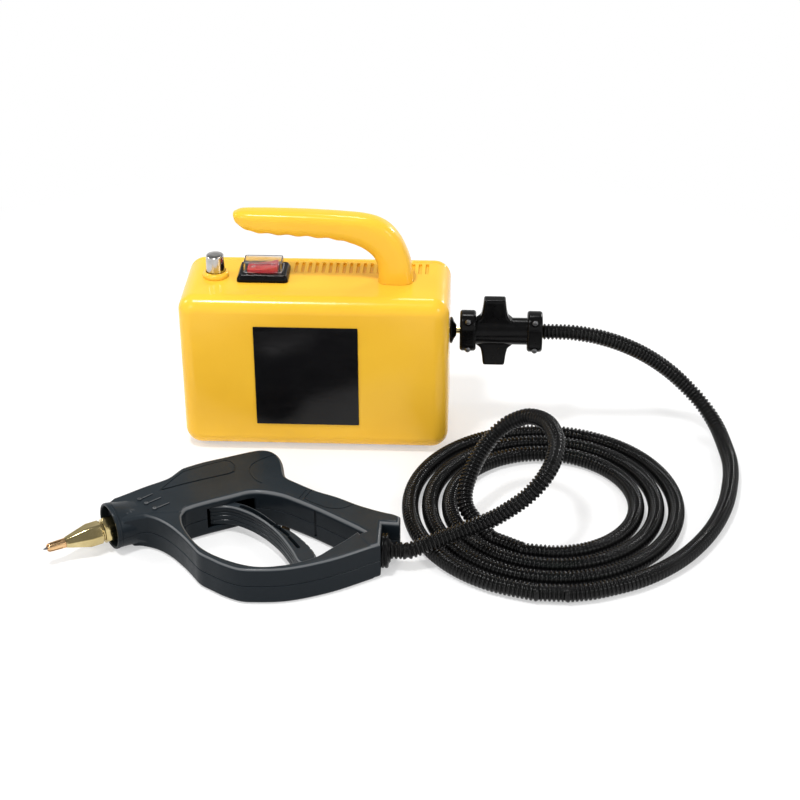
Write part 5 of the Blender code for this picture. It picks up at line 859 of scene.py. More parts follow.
def make_handle():
    uppers = [Vector((upper[0], upper[1], lower[0])) for upper, lower, _ in HANDLE_EDGES]
    lowers = [Vector((lower[1], depth, 0)) for _, lower, depth in HANDLE_EDGES]
    rings = []
    per_row = 9
    for step in range((len(uppers) - 1) * per_row + 1):
        position = step / per_row
        first, second = blended(uppers, position), blended(lowers, position)
        top = Vector((HANDLE_FOOT.x - first.x * HANDLE_REACH, HANDLE_FOOT.z + first.y * HANDLE_RISE))
        low = Vector((HANDLE_FOOT.x - first.z * HANDLE_REACH, HANDLE_FOOT.z + second.x * HANDLE_RISE))
        low += (top - low).normalized() * finger_wave(position, low.x)
        rings.append(handle_ring(top, low, HANDLE_DEPTH / 2 * second.y))
    last = [Vector(point) for point in rings[-1]]
    centre = sum(last, Vector()) / HANDLE_SIDES
    earlier = sum((Vector(point) for point in rings[-3]), Vector()) / HANDLE_SIDES
    way = (centre - earlier).normalized()
    for share, ahead in ((0.93, 0.0007), (0.78, 0.0013), (0.5, 0.0018), (0.2, 0.0020)):
        rings.append([tuple(centre + (point - centre) * share + way * ahead) for point in last])
    holes = [moved(rod(0.0023, -0.002, 0.014, 24), HANDLE_FOOT + Vector((side * 0.0075, 0, 0)))
             for side in (-1, 1)]
    grip = cut(skin("grip", rings), joined("holes", holes))
    piece("carry_handle", moved(grip, SHIFT), YELLOW, "yellow_plastic", replaces=("handle",), sharp=50)


# Filler: collar and cap

CAP_LOW = 0.1599
CAP_TOP = CAP_LOW + 0.0142
CAP_RADIUS = 0.00845


def make_filler():
    collar = lathe("collar", soften([(radius, BOX_TOP + height) for radius, height in (
        (0.0086, FIT), (0.01175, FIT), (0.01175, 0.0022), (0.0110, 0.0040), (0.0101, 0.0046), (0.0099, 0.0053),
        (0.0091, 0.0053), (0.0090, 0.0048), (0.0086, 0.0046))], 0.0004, 4), 72, True)
    piece("cap_collar", moved(collar, FILLER + SHIFT), YELLOW, "yellow_plastic", replaces=("filler_collar",))

    profile = soften((
        (0.0047, CAP_LOW - 0.0110), (0.0047, CAP_LOW), (0.0078, CAP_LOW), (0.0078, CAP_LOW - 0.0017),
        (CAP_RADIUS - 0.0001, CAP_LOW - 0.0017), (CAP_RADIUS, CAP_LOW - 0.0010), (CAP_RADIUS, CAP_LOW + 0.0012),
        (CAP_RADIUS - 0.0001, CAP_LOW + 0.0040), (CAP_RADIUS - 0.00045, CAP_TOP - 0.0012),
        (CAP_RADIUS - 0.0013, CAP_TOP - 0.0004), (0.0040, CAP_TOP - 0.00005), (0.0006, CAP_TOP)), 0.0004, 4)
    cap = lathe("cap", [(0.0004, CAP_LOW - 0.0110)] + profile, 96)
    piece("chrome_cap", moved(cap, FILLER + SHIFT), CHROME, "chrome", body="cap", replaces=("filler_cap",),
          sharp=40)


# Switch: frame, boot and rocker

FRAME_WIDTH, FRAME_DEPTH, FRAME_HEIGHT = 0.0459, 0.0330, 0.0065
BOOT_HEIGHT, BOOT_WALL = 0.0085, 0.0009
ROCKER_PIVOT = SWITCH + SHIFT + Vector((0, 0, 0.0047))
ROCKER_REST = spun(-8, "Y")
ROCKER_HALF, ROCKER_CROWN, ROCKER_DIP = 0.0135, 0.0052, 0.0012
MARK_X = 0.0084


def stacked(name, levels, ring_shape=False, steps=6):
    """Rounded rectangles (width, depth, corner, level) joined into one form."""
    return skin(name, [[(x, y, level) for x, y in rounded_rectangle(width, depth, corner, steps)]
                       for width, depth, corner, level in levels], ring_shape)


def make_switch_frame():
    outer = soften(((0, 0), (0, 0.0024), (0.0018, 0.0060), (0.0026, FRAME_HEIGHT), (0.0042, 0.0062),
                    (0.0058, 0.0062), (0.0070, 0.0062)), 0.0007, 3)
    levels = [(FRAME_WIDTH - 2 * inner, FRAME_DEPTH - 2 * inner, max(0.0032 - inner * 0.35, 0.0008), level)
              for inner, level in outer]
    levels += [(0.0299, 0.0170, 0.0010, 0.0058), (0.0299, 0.0170, 0.0010, 0)]
    piece("switch_bezel", moved(stacked("bezel", levels, True), SWITCH + SHIFT), BLACK, "black_plastic",
          replaces=("switch_frame",), sharp=40)


def make_boot():
    low = FRAME_HEIGHT + FIT
    high = low + BOOT_HEIGHT
    thick = 2 * BOOT_WALL
    levels = [
        (0.0336, 0.0176, 0.0017, high), (0.0343, 0.0183, 0.0019, high - 0.0003),
        (0.0347, 0.0187, 0.0020, high - 0.0010), (0.0352, 0.0192, 0.0020, low + 0.0013),
        (0.0360, 0.0200, 0.0022, low + 0.0009), (0.0360, 0.0200, 0.0022, low), (0.0350, 0.0190, 0.0020, low),
        (0.0350 - thick, 0.0190 - thick, 0.0014, low),
        (0.0345 - thick, 0.0185 - thick, 0.0014, high - BOOT_WALL - 0.0008),
        (0.0342 - thick, 0.0182 - thick, 0.0012, high - BOOT_WALL),
    ]
    piece("clear_boot", moved(stacked("boot", levels), SWITCH + SHIFT), CLEAR, "clear_silicone",
          replaces=("switch_boot",), sharp=50)


def rocker_top(share):
    """Height of the rocker's hollowed top at a share of its half length."""
    return ROCKER_CROWN - ROCKER_DIP * (1 - share * share)


def make_rocker():
    profile = [Vector((ROCKER_HALF, 0)), Vector((ROCKER_HALF, ROCKER_CROWN))]
    for step in range(1, 12):
        share = 1 - step / 6
        profile.append(Vector((ROCKER_HALF * share, rocker_top(share))))
    profile += [Vector((-ROCKER_HALF, ROCKER_CROWN)), Vector((-ROCKER_HALF, 0))]
    for step in range(9):
        turn = math.pi * (1.15 + 0.70 * step / 8)
        profile.append(Vector((0.0045 * math.cos(turn), 0.0045 * math.sin(turn))))
    half = [(0, 0.0068), (0.00012, 0.0072), (0.0005, 0.0075)]
    levels = [(drawn, -level) for drawn, level in reversed(half)] + half
    rocker = moved(slab("rocker_form", profile, levels), (0, 0, 0), ROCKER_REST @ FACING_FRONT)
    rocker = shaped(rocker, moved(rod(0.0012, -0.0082, 0.0082, 20), (0, 0, 0), ALONG_Y), "UNION")
    piece("red_rocker", moved(rocker, ROCKER_PIVOT), RED, "red_plastic", body="rocker", replaces=("rocker",),
          sharp=30)


def make_marks():
    """A ring for off and a bar for on, lying in the rocker's top."""
    ring = lathe("ring", ((0.0012, -0.0002), (0.0017, -0.0002), (0.0017, 0.00012), (0.0012, 0.00012)),
                 32, True)
    bar = slab("bar", rounded_rectangle(0.0006, 0.0036, 0.00025, 3), ((0, -0.0002), (0, 0.00012)))
    for name, mark, x in (("mark_off", ring, -MARK_X), ("mark_on", bar, MARK_X)):
        share = x / ROCKER_HALF
        lean = Matrix.Rotation(-math.atan(2 * ROCKER_DIP * share / ROCKER_HALF), 4, "Y")
        placed = moved(mark, (x, 0, rocker_top(share)), lean)
        piece(name, moved(placed, ROCKER_PIVOT, ROCKER_REST), WHITE, "grey_plastic", body="rocker")


# Plate on the front

def make_label():
    levels = ((0, 0), (0, 0.00038), (0.00008, 0.00052), (0.00022, 0.0006))
    plate = moved(slab("plate", rounded_rectangle(0.0927, 0.0988, 0.0008, 5), levels), (0, 0, 0), FACING_FRONT)
    piece("front_plate", moved(plate, Vector((-0.0066, -FIT, 0.0786)) + SHIFT), PLATE, "black_plastic",
          replaces=("label_plate",), sharp=30)


# Screws, feet and the mains inlet

# Turn of the cross recess, in radians
CROSS_TURN = 0.3
# Node, piece, count, head radius and height, shank radius, the way the head looks, finish and body
SCREWS = (
    ("cover_screw", "back_screw", 4, 0.0030, 0.0020, 0.0015, ALONG_Y, STEEL, MAIN),
    ("clamp_screw", "collar_screw", 4, 0.0026, 0.0018, 0.0013, FACING_FRONT, DARK_STEEL, "coupling"),
    ("gun_screw", "shell_screw", 3, 0.0024, 0.0016, 0.0012, FACING_DOWN, STEEL, MAIN),
)


def screw_form(head, head_height, shank, length):
    """A pan head screw with a cross recess, its head's top at 0."""
    profile = soften(((0.0001, 0.00002), (head * 0.55, 0), (head * 0.92, -head_height * 0.32),
                      (head, -head_height * 0.70), (head, -head_height), (shank, -head_height)),
                     head * 0.18, 3)
    form = lathe("screw", profile + [(shank, -length)], 40)
    recess = ((head * 0.40, head * 0.08, -head_height * 0.62), (head * 0.62, head * 0.13, 0.0004))
    for turn in (0, math.pi / 2):
        arm = skin("arm", [[(x * half, y * wide, level) for x, y in ((-1, -1), (1, -1), (1, 1), (-1, 1))]
                           for half, wide, level in recess])
        form = shaped(form, moved(arm, (0, 0, 0), Matrix.Rotation(turn + CROSS_TURN, 4, "Z")))
    return form


def make_fasteners():
    for node, name, count, head, head_height, shank, looks, finish, body in SCREWS:
        for number in range(1, count + 1):
            low, high = (Vector(corner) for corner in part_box(f"{node}_{number}"))
            way = looks @ Vector((0, 0, 1))
            length = abs(way.dot(high - low))
            form = screw_form(head, head_height, shank, length)
            place = (low + high) / 2 + way * length / 2
            piece(f"{name}_{number}", moved(form, place, looks), finish, "steel", body=body,
                  replaces=(f"{node}_{number}",), sharp=40)


def make_feet():
    for name in ("foot_front_left", "foot_front_right", "foot_rear_left", "foot_rear_right"):
        low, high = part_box(name)
        radius = (high[0] - low[0]) / 2
        top = high[2] - low[2]
        profile = soften(((0.0001, 0.0009), (radius * 0.42, 0.0009), (radius * 0.52, 0), (radius * 0.94, 0),
                          (radius, 0.0006), (radius * 0.97, top)), 0.0005, 3)
        form = lathe(name, profile + [(0.0001, top)], 48)
        place = ((low[0] + high[0]) / 2, (low[1] + high[1]) / 2, low[2])
        piece(name.replace("foot", "rubber_foot"), moved(form, place), RUBBER, "black_rubber",
              replaces=(name,), sharp=40)


def make_inlet():
    """The mains gland on the rear cover, with three grip rings."""
    profile = [(0.0036, -0.0059), (0.0090, -0.0059), (0.0090, -0.0029), (0.0062, -0.0029), (0.0062, 0.0022)]
    for ring in range(3):
        level = 0.0034 + ring * 0.0026
        profile += [(0.0062, level), (0.0055, level + 0.0004),
                    (0.0055, level + 0.0009), (0.0062, level + 0.0013)]
    profile += [(0.0062, 0.0124), (0.0056, 0.0130), (0.0042, 0.0130), (0.0036, 0.0124)]
    gland = lathe("gland", soften(profile, 0.0003, 3), 56, True)
    piece("mains_gland", moved(gland, INLET + SHIFT, ALONG_Y), BLACK, "black_plastic",
          replaces=("inlet_gland",), sharp=40)


# Outlet cone and hose coupling

COUPLING = Vector((0.1293, BOX_MIDDLE_Y, 0.1030))
COUPLING_LENGTH = 0.0746
LEFT_COLLAR, RIGHT_COLLAR = 0.0147, 0.0139
BARREL = 0.0123
WING_MIDDLE = 0.0311
# A quarter of the wings' outline, from the barrel out to the tip
WING_SIDE = (
    (0.0172, 0.0070), (0.0168, 0.0112), (0.0150, 0.0131), (0.0128, 0.0152), (0.0117, 0.0182), (0.0108, 0.0232),
    (0.0101, 0.0290), (0.0097, 0.0318), (0.0088, 0.0328),
)


def make_outlet_cone():
    profile = soften(((0.0033, FIT), (0.0108, FIT), (0.0118, 0.0009), (0.0123, 0.0020), (0.0110, 0.0030),
                      (0.0080, 0.0041), (0.0060, 0.0054), (0.0048, 0.0062), (0.0033, 0.0062)), 0.0005, 4)
    cone = lathe("cone", profile, 64, True)
    piece("cone_nut", moved(cone, OUTLET + SHIFT, ALONG_X), BLACK, "black_plastic", replaces=("outlet_cone",),
          sharp=40)


def collar_form(start, length):
    rings = []
    for drawn, x in rounded_levels(start, start + length, 0.0026, 0.0026, 5):
        outline = rounded_rectangle(0.0280 - 2 * drawn, 0.0368 - 2 * drawn, 0.0120 - drawn, 12)
        rings.append([(x, y, z) for y, z in outline])
    return skin("collar", rings)


def wing_form():
    """Both wings in one slab, flared where they meet the barrel."""
    outline = []
    for side_x, side_z in ((1, 1), (-1, 1), (-1, -1), (1, -1)):
        spots = WING_SIDE if side_x == side_z else reversed(WING_SIDE)
        outline += [(WING_MIDDLE + side_x * x, side_z * z) for x, z in spots]
    smooth = curve(outline, (0, 17, 18, 35), 0.0012)
    levels = rounded_levels(-0.0060, 0.0060, 0.0024, 0.0024, 5)
    return moved(slab("wings", smooth, levels), (0, 0, 0), FACING_FRONT)


def make_coupling():
    """The whole T, hollow for the union nut and the hose, parted into a front and a rear half."""
    right = COUPLING_LENGTH - RIGHT_COLLAR
    whole = collar_form(0, LEFT_COLLAR)
    barrel = moved(rod(BARREL, LEFT_COLLAR / 2, COUPLING_LENGTH - RIGHT_COLLAR / 2, 72), (0, 0, 0), ALONG_X)
    for form in (barrel, collar_form(right, RIGHT_COLLAR), wing_form()):
        whole = shaped(whole, form, "UNION")
    cavity = lathe("cavity", ((0.0040, -0.002), (0.0040, LEFT_COLLAR / 2), (0.0092, LEFT_COLLAR / 2),
                              (0.0092, right + RIGHT_COLLAR / 3), (0.0078, right + RIGHT_COLLAR / 3),
                              (0.0078, COUPLING_LENGTH - 0.0006), (0.0086, COUPLING_LENGTH + 0.0006)), 56)
    sink = lathe("sink", ((0.0037, -0.0024), (0.0030, 0.0004), (0.0029, 0.0021), (0.0016, 0.0021),
                          (0.0016, 0.0210)), 36)
    holes = [moved(sink.copy(), (x, -0.0128, side * 0.0139), ALONG_Y)
             for x in (LEFT_COLLAR / 2, right + RIGHT_COLLAR / 2) for side in (1, -1)]
    whole = cut(whole, moved(cavity, (0, 0, 0), ALONG_X), joined("holes", holes))
    for name, low, high, node in (("coupling_front", -0.0500, -FIT / 2, "coupling_front_half"),
                                  ("coupling_back", FIT / 2, 0.0500, "coupling_rear_half")):
        half = shaped(whole.copy(), box_mesh("keep", (-0.01, low, -0.05), (0.09, high, 0.05)), "INTERSECT")
        piece(name, moved(half, COUPLING + SHIFT), BLACK, "black_plastic", body="coupling", replaces=(node,),
              sharp=32)


# Gun, drawn in its own frame: muzzle at the left, top up, then laid on its side

GUN_LENGTH, GUN_HEIGHT, GUN_THICK = 0.2100, 0.1960, 0.0340
GUN_MIDDLE = GUN_THICK / 2
GUN_TURN = 33.3
GUN_PLACE = Matrix.Translation(Vector((-0.160533, -0.158022, 0)) + SHIFT) @ spun(GUN_TURN)
# Outlines in shares of the gun's length and height
GUN_TOP = (
    (0.000, 0.092), (0.038, 0.095), (0.102, 0.102), (0.198, 0.115), (0.276, 0.120), (0.316, 0.126),
    (0.352, 0.145), (0.384, 0.162), (0.410, 0.168), (0.493, 0.167), (0.580, 0.155), (0.650, 0.146),
    (0.707, 0.137), (0.742, 0.125), (0.767, 0.103), (0.781, 0.072), (0.784, 0.032), (0.777, -0.010),
    (0.763, -0.053), (0.741, -0.110),
    (0.737, -0.145), (0.753, -0.195), (0.793, -0.300), (0.845, -0.394), (0.891, -0.498), (0.943, -0.587),
    (0.982, -0.642),
)
GUN_BUTT = (
    (0.988, -0.662), (0.955, -0.716), (0.900, -0.670), (0.820, -0.802), (0.762, -0.800), (0.762, -0.690),
)
GLAND_SEAT = ((0.900, -0.670), (0.818, -0.805))
GUN_UNDER = (
    (0.808, -0.684), (0.771, -0.571), (0.724, -0.434), (0.685, -0.337), (0.650, -0.262), (0.600, -0.200),
    (0.548, -0.168), (0.476, -0.160), (0.360, -0.148), (0.285, -0.148), (0.240, -0.168),
)
GUN_CHIN = ((0.130, -0.112), (0.064, -0.092), (0.000, -0.088))
GUARD_OUTER = (
    (0.074, -0.062), (0.104, -0.084), (0.145, -0.142), (0.171, -0.223), (0.184, -0.327), (0.187, -0.413),
    (0.190, -0.472), (0.210, -0.531), (0.236, -0.597), (0.274, -0.660), (0.324, -0.700), (0.398, -0.744),
    (0.462, -0.769), (0.544, -0.788), (0.640, -0.800), (0.790, -0.802),
)
GUARD_INNER = (
    (0.790, -0.668), (0.714, -0.697), (0.645, -0.717), (0.562, -0.740), (0.471, -0.732), (0.417, -0.716),
    (0.367, -0.692), (0.322, -0.654), (0.277, -0.590), (0.236, -0.503), (0.216, -0.422), (0.214, -0.340),
    (0.222, -0.255), (0.243, -0.186), (0.262, -0.160), (0.262, -0.100), (0.074, -0.030),
)
BODY_CORNERS = (0, 27, 28, 29, 30, 31, 32, 33, 46)
GUARD_CORNERS = (15, 16, 31, 32)
SHELL_WALL = 0.0026
SEAM = GUN_MIDDLE + FIT / 2
BODY_ROUND = 0.0042
BODY_LEVELS = rounded_levels(0, GUN_THICK, 0, BODY_ROUND, 7)[1:]
GUARD_HIGH, GUARD_ROUND = 0.0336, 0.0027
SEAM_CUT = (0.1513, -0.0840, 0)
SCREW_SPOTS = ((0.172, -0.125), (0.735, 0.045), (0.700, -0.782))


def gun_spots(*groups):
    return [Vector((x * GUN_LENGTH, y * GUN_HEIGHT)) for group in groups for x, y in group]


TRIGGER_PIN, LATCH_PIN = gun_spots(((0.424, -0.071), (0.563, -0.400)))


def body_outline():
    return curve(gun_spots(GUN_TOP, GUN_BUTT, GUN_UNDER, GUN_CHIN), BODY_CORNERS, 0.0020, 0.0062)


def half_levels(levels, upper):
    """Levels of the upper half as they are, or mirrored for the lower half."""
    return levels if upper else [(drawn, GUN_THICK - level) for drawn, level in levels]


def at_gland(form):
    upper, lower = gun_spots(GLAND_SEAT)
    return moved(form, (*(upper + lower) / 2, GUN_MIDDLE), spun(-GUN_TURN) @ ALONG_X)


def ribbon(route, width, spacing=0.0015):
    """The outline of a band of even width along an open route, with round ends."""
    fine = through([Vector(spot) for spot in route], spacing)
    left, right = [], []
    for index, spot in enumerate(fine):
        way = (fine[min(index + 1, len(fine) - 1)] - fine[max(index - 1, 0)]).normalized()
        side = Vector((-way.y, way.x)) * width / 2
        left.append(spot + side)
        right.append(spot - side)
    ends = []
    for spot, beside in ((fine[-1], fine[-2]), (fine[0], fine[1])):
        way = (spot - beside).normalized()
        side = Vector((-way.y, way.x))
        angles = [math.pi * step / 6 for step in range(1, 6)]
        ends.append([spot + (side * math.cos(angle) + way * math.sin(angle)) * width / 2 for angle in angles])
    return left + ends[0] + list(reversed(right)) + ends[1]


MUZZLE_Y, MUZZLE_Z, MUZZLE_RADIUS = -0.0008, 0.0200, 0.0200
# Place along the gun, width and height in shares of the radius, height of the middle, and roundness
SLEEVE = (
    (0.0000, 0.955, 0.955, 0.0200, 1.00), (0.0003, 0.982, 0.982, 0.0200, 1.00),
    (0.0010, 1.000, 1.000, 0.0200, 1.00), (0.0030, 1.000, 1.000, 0.0200, 1.00),
    (0.0034, 0.962, 0.962, 0.0200, 1.00), (0.0044, 0.962, 0.962, 0.0200, 1.00),
    (0.0048, 0.985, 0.985, 0.0200, 1.00), (0.0080, 0.970, 0.955, 0.0195, 0.98),
    (0.0120, 0.950, 0.925, 0.0189, 0.94), (0.0160, 0.935, 0.895, 0.0183, 0.88),
    (0.0200, 0.925, 0.870, 0.0178, 0.82), (0.0250, 0.915, 0.845, 0.0173, 0.76),
    (0.0300, 0.900, 0.825, 0.0170, 0.72), (0.0370, 0.830, 0.770, 0.0170, 0.70),
)


def muzzle_sleeve(upper):
    """The round muzzle with a groove behind its rim, flowing back into the flatter head."""
    rings = []
    for x, wide, tall, middle, roundness in SLEEVE:
        rings.append([(x, MUZZLE_Y + MUZZLE_RADIUS * wide * bent(across, roundness),
                       middle + MUZZLE_RADIUS * tall * bent(rise, roundness))
                      for across, rise, _ in circle(1, 0, 96)])
    low, high = (SEAM, 0.06) if upper else (-0.01, GUN_MIDDLE - FIT / 2)
    keep = box_mesh("keep", (-0.01, -0.05, low), (0.06, 0.05, high))
    return shaped(skin("sleeve", rings), keep, "INTERSECT")


def muzzle_trim(upper):
    """What is kept of the head's flat form, so that it stays inside the round muzzle."""
    if upper:
        profile = ((0.0186, 0.0012), (0.0191, 0.0055), (0.0206, 0.0105), (0.0242, 0.0165), (0.0310, 0.0235),
                   (0.0420, 0.0320), (0.3000, 0.0330), (0.3000, 0.2500))
    else:
        profile = ((0.0183, 0.0012), (0.0183, 0.0090), (0.0190, 0.0150), (0.0212, 0.0210), (0.0262, 0.0290),
                   (0.0420, 0.0400), (0.3000, 0.0410), (0.3000, 0.2500))
    return moved(lathe("muzzle", soften(profile, 0.003, 5), 96), (0, MUZZLE_Y, MUZZLE_Z), ALONG_X)


def outer_form(upper):
    """Body, guard and muzzle of one half, with a chamfer along the parting edge."""
    chamfer = [(0.00042, SEAM), (0, SEAM + 0.00045)]
    levels = half_levels(chamfer + rounded_levels(SEAM + 0.0006, GUN_THICK, 0, BODY_ROUND, 7), upper)
    shell = shaped(slab("shell", body_outline(), levels), muzzle_trim(upper), "INTERSECT")
    guard = curve(gun_spots(GUARD_OUTER, GUARD_INNER), GUARD_CORNERS, 0.0020, 0.0030)
    levels = half_levels(chamfer + rounded_levels(SEAM + 0.0006, GUARD_HIGH, 0, GUARD_ROUND, 5), upper)
    shell = shaped(shell, slab("guard", guard, levels), "UNION")
    return shaped(shell, muzzle_sleeve(upper), "UNION")


def hollows(upper):
    """What is open inside a half: cavity, mouth, throat, trigger slot, pin hole and gland seat."""
    levels = half_levels([(SHELL_WALL, GUN_MIDDLE - 0.001), (SHELL_WALL, GUN_THICK - SHELL_WALL)], upper)
    core = lathe("core", ((0.0150, 0.0120), (0.0155, 0.0180), (0.0190, 0.0260), (0.0350, 0.0380),
                          (0.3000, 0.0390), (0.3000, 0.2500)), 72)
    core = moved(core, (0, MUZZLE_Y, GUN_MIDDLE), ALONG_X)
    mouth = lathe("mouth", soften(((0.0188, -0.0010), (0.0181, 0.0004), (0.0177, 0.0010), (0.0175, 0.0070),
                                   (0.0150, 0.0075)), 0.0004, 3), 72)
    low, high = gun_spots(((0.368, -0.210), (0.572, -0.060)))
    return (
        shaped(slab("cavity", body_outline(), levels), core, "INTERSECT"),
        moved(mouth, (0, MUZZLE_Y, MUZZLE_Z), ALONG_X),
        moved(rod(0.0150, 0.0060, 0.0125, 64), (0, MUZZLE_Y, GUN_MIDDLE + 0.001), ALONG_X),
        box_mesh("slot", (*low, GUN_MIDDLE - 0.0101), (*high, GUN_MIDDLE + 0.0101)),
        moved(rod(0.0021, 0.0013, GUN_THICK - 0.0013, 24), (*TRIGGER_PIN, 0)),
        at_gland(rod(0.0081, -0.0045, 0.0030)),
    )


# Routes and widths of the grooves in both flat sides
GROOVES = (
    (((0.1665, 0.0090), (0.1560, 0.0090), (0.1470, 0.0078), (0.1388, 0.0055), (0.1317, -0.0011),
      (0.1286, -0.0103), (0.1286, -0.0199), (0.1310, -0.0262)), 0.0011),
    (((0.1506, -0.0667), (0.1524, -0.0730), (0.1559, -0.0804), (0.1609, -0.0891), (0.1687, -0.0950),
      (0.1760, -0.0962), (0.1835, -0.0940), (0.1900, -0.0890)), 0.0010),
    (((0.1470, -0.0640), (0.1580, -0.0560)), 0.0010),
    (((0.1508, -0.0662), (0.1618, -0.0585)), 0.0010),
)
GROOVE_DEPTH = 0.00050


def groove_tools(upper):
    """The grooves of one half, and the channel round the panel, cut to one depth below the surface."""
    drawn_in = [(drawn + GROOVE_DEPTH, level - GROOVE_DEPTH) for drawn, level in BODY_LEVELS]
    inner = slab("inner", body_outline(), half_levels([(GROOVE_DEPTH, GUN_MIDDLE)] + drawn_in, upper))
    levels = [(0, GUN_MIDDLE + 0.004), (0, GUN_THICK + 0.001)]
    tools = [slab("groove", ribbon(route, width), half_levels(levels, upper)) for route, width in GROOVES]
    if upper:
        edge = curve(PANEL, PANEL_CORNERS, 0.0015)
        core = slab("core", edge, [(0, GUN_MIDDLE + 0.003), (0, GUN_THICK + 0.002)])
        tools.append(shaped(slab("channel", inset(edge, -0.0011, 4), levels), core))
    return [shaped(tool, inner.copy()) for tool in tools]


def shell_half(upper):
    shell = cut(outer_form(upper), *hollows(upper), *groove_tools(upper))
    if upper:
        for form in (raised_panel(), *side_bars()):
            shell = shaped(shell, form, "UNION")
    seam_cut = box_mesh("seam_cut", (-0.0009, -0.0021, GUN_MIDDLE - 0.0125),
                        (0.0009, 0.0021, GUN_THICK - 0.0030))
    shell = shaped(shell, moved(seam_cut, SEAM_CUT, spun(-28)))
    if not upper:
        sink = lathe("sink", soften(((0.0036, -0.001), (0.0030, 0.0024), (0.0028, 0.0040), (0.0015, 0.0040),
                                     (0.0015, 0.0280)), 0.0002, 2), 32)
        shell = cut(shell, *[moved(sink.copy(), (*spot, 0)) for spot in gun_spots(SCREW_SPOTS)])
    return shell


PANEL = (
    (0.0530, 0.0083), (0.0667, 0.0166), (0.0810, 0.0243), (0.1000, 0.0240), (0.1190, 0.0226), (0.1222, 0.0190),
    (0.1228, 0.0110), (0.1190, 0.0030), (0.1140, 0.0020), (0.0776, 0.0066),
)
PANEL_CORNERS = (0, 2, 4, 7, 8)
PANEL_RISE = 0.00035
BARS = (
    ((0.0305, 0.0034), (0.0430, 0.0060)), ((0.0330, -0.0052), (0.0465, -0.0030)),
    ((0.0358, -0.0160), (0.0493, -0.0142)),
)


def raised_panel():
    """The bare raised field on the head, following the rounded top edge."""
    levels = [(-PANEL_RISE, GUN_THICK - 0.0075)]
    levels += [(drawn - PANEL_RISE, level + PANEL_RISE) for drawn, level in BODY_LEVELS]
    edge = inset(curve(PANEL, PANEL_CORNERS, 0.0015), 0.0002, 2)
    field = slab("field", edge, [(0, GUN_THICK - 0.0020), (0, GUN_THICK + 0.002)])
    return shaped(field, slab("over", body_outline(), levels), "INTERSECT")


def side_bars():
    """Three short raised bars beside the panel, each with a small bead at its front end."""
    levels = [(0, GUN_THICK - 0.0040), (0, GUN_THICK + 0.0005), (0.0002, GUN_THICK + 0.0009),
              (0.0005, GUN_THICK + 0.0011)]
    bead = lathe("bead", soften(((0.0021, -0.004), (0.0020, 0.0006), (0.0013, 0.0017), (0.0001, 0.0021)),
                                0.0006, 4), 20)
    forms = []
    for start, end in BARS:
        forms.append(slab("bar", ribbon((start, end), 0.0018, 0.004), levels))
        forms.append(moved(bead.copy(), (*start, GUN_THICK)))
    return forms


def gun_piece(name, form, material, slot, sharp=30, **more):
    """Lays a piece that was drawn in the gun's frame down in its place."""
    form.transform(GUN_PLACE)
    piece(name, form, material, slot, sharp=sharp, **more)


def make_gun():
    gun_piece("gun_top_half", shell_half(True), DARK, "dark_plastic", 32, replaces=("gun_shell_upper",))
    gun_piece("gun_low_half", shell_half(False), DARK, "dark_plastic", 32, replaces=("gun_shell_lower",))


TRIGGER = (
    (0.388, -0.133), (0.457, -0.174), (0.500, -0.250), (0.524, -0.332), (0.535, -0.408), (0.538, -0.490),
    (0.529, -0.602), (0.517, -0.684), (0.533, -0.710), (0.571, -0.712), (0.592, -0.684), (0.600, -0.610),
    (0.594, -0.510), (0.581, -0.444), (0.562, -0.383), (0.548, -0.291), (0.524, -0.209), (0.481, -0.133),
    (0.462, -0.050), (0.436, 0.004), (0.400, 0.004), (0.400, -0.071),
)


TRIGGER_HALF = 0.0095
TRIGGER_TOP = GUN_MIDDLE + TRIGGER_HALF
# Share of the way across, start and end along the blade, and width of each pocket in its side
POCKETS = (
    (0.50, 0.10, 0.30, 0.0040), (0.50, 0.335, 0.53, 0.0040), (0.48, 0.565, 0.76, 0.0036),
    (0.42, 0.795, 0.97, 0.0032),
)
LATCH_REST = spun(-62)
LATCH_EYE, LATCH_BAR, LATCH_LENGTH = 0.0026, 0.0030, 0.0105


def blade_line(share, start, end, count=14):
    """Points along the trigger between its front and rear edges, at a share of the way across."""
    front = curve(gun_spots(TRIGGER[1:8]), (0, 6), 0.001)
    rear = curve(gun_spots(tuple(reversed(TRIGGER[10:18]))), (0, 7), 0.001)
    spots = []
    for step in range(count):
        along = start + (end - start) * step / (count - 1)
        first = front[round(along * (len(front) * 0.86))]
        other = min(rear, key=lambda spot: (spot - first).length)
        spots.append(first.lerp(other, share))
    return spots


def trigger_levels():
    """Levels across the blade: grip grooves, and a raised ridge along its upper side."""
    half = TRIGGER_HALF
    levels = [(0.0012, -half), (0.0006, -half + 0.0002), (0.00012, -half + 0.0008), (0, -half + 0.0014)]
    for middle in (-0.0042, 0.0006, 0.0036):
        levels += [(0, middle - 0.0007), (0.0006, middle - 0.0003),
                   (0.0006, middle + 0.0003), (0, middle + 0.0007)]
    levels += [(0, half - 0.0044), (-0.0004, half - 0.0040), (-0.0006, half - 0.0034),
               (-0.0006, half - 0.0020), (-0.0003, half - 0.0012), (0.0003, half - 0.0006),
               (0.0010, half - 0.0002), (0.0017, half)]
    return levels


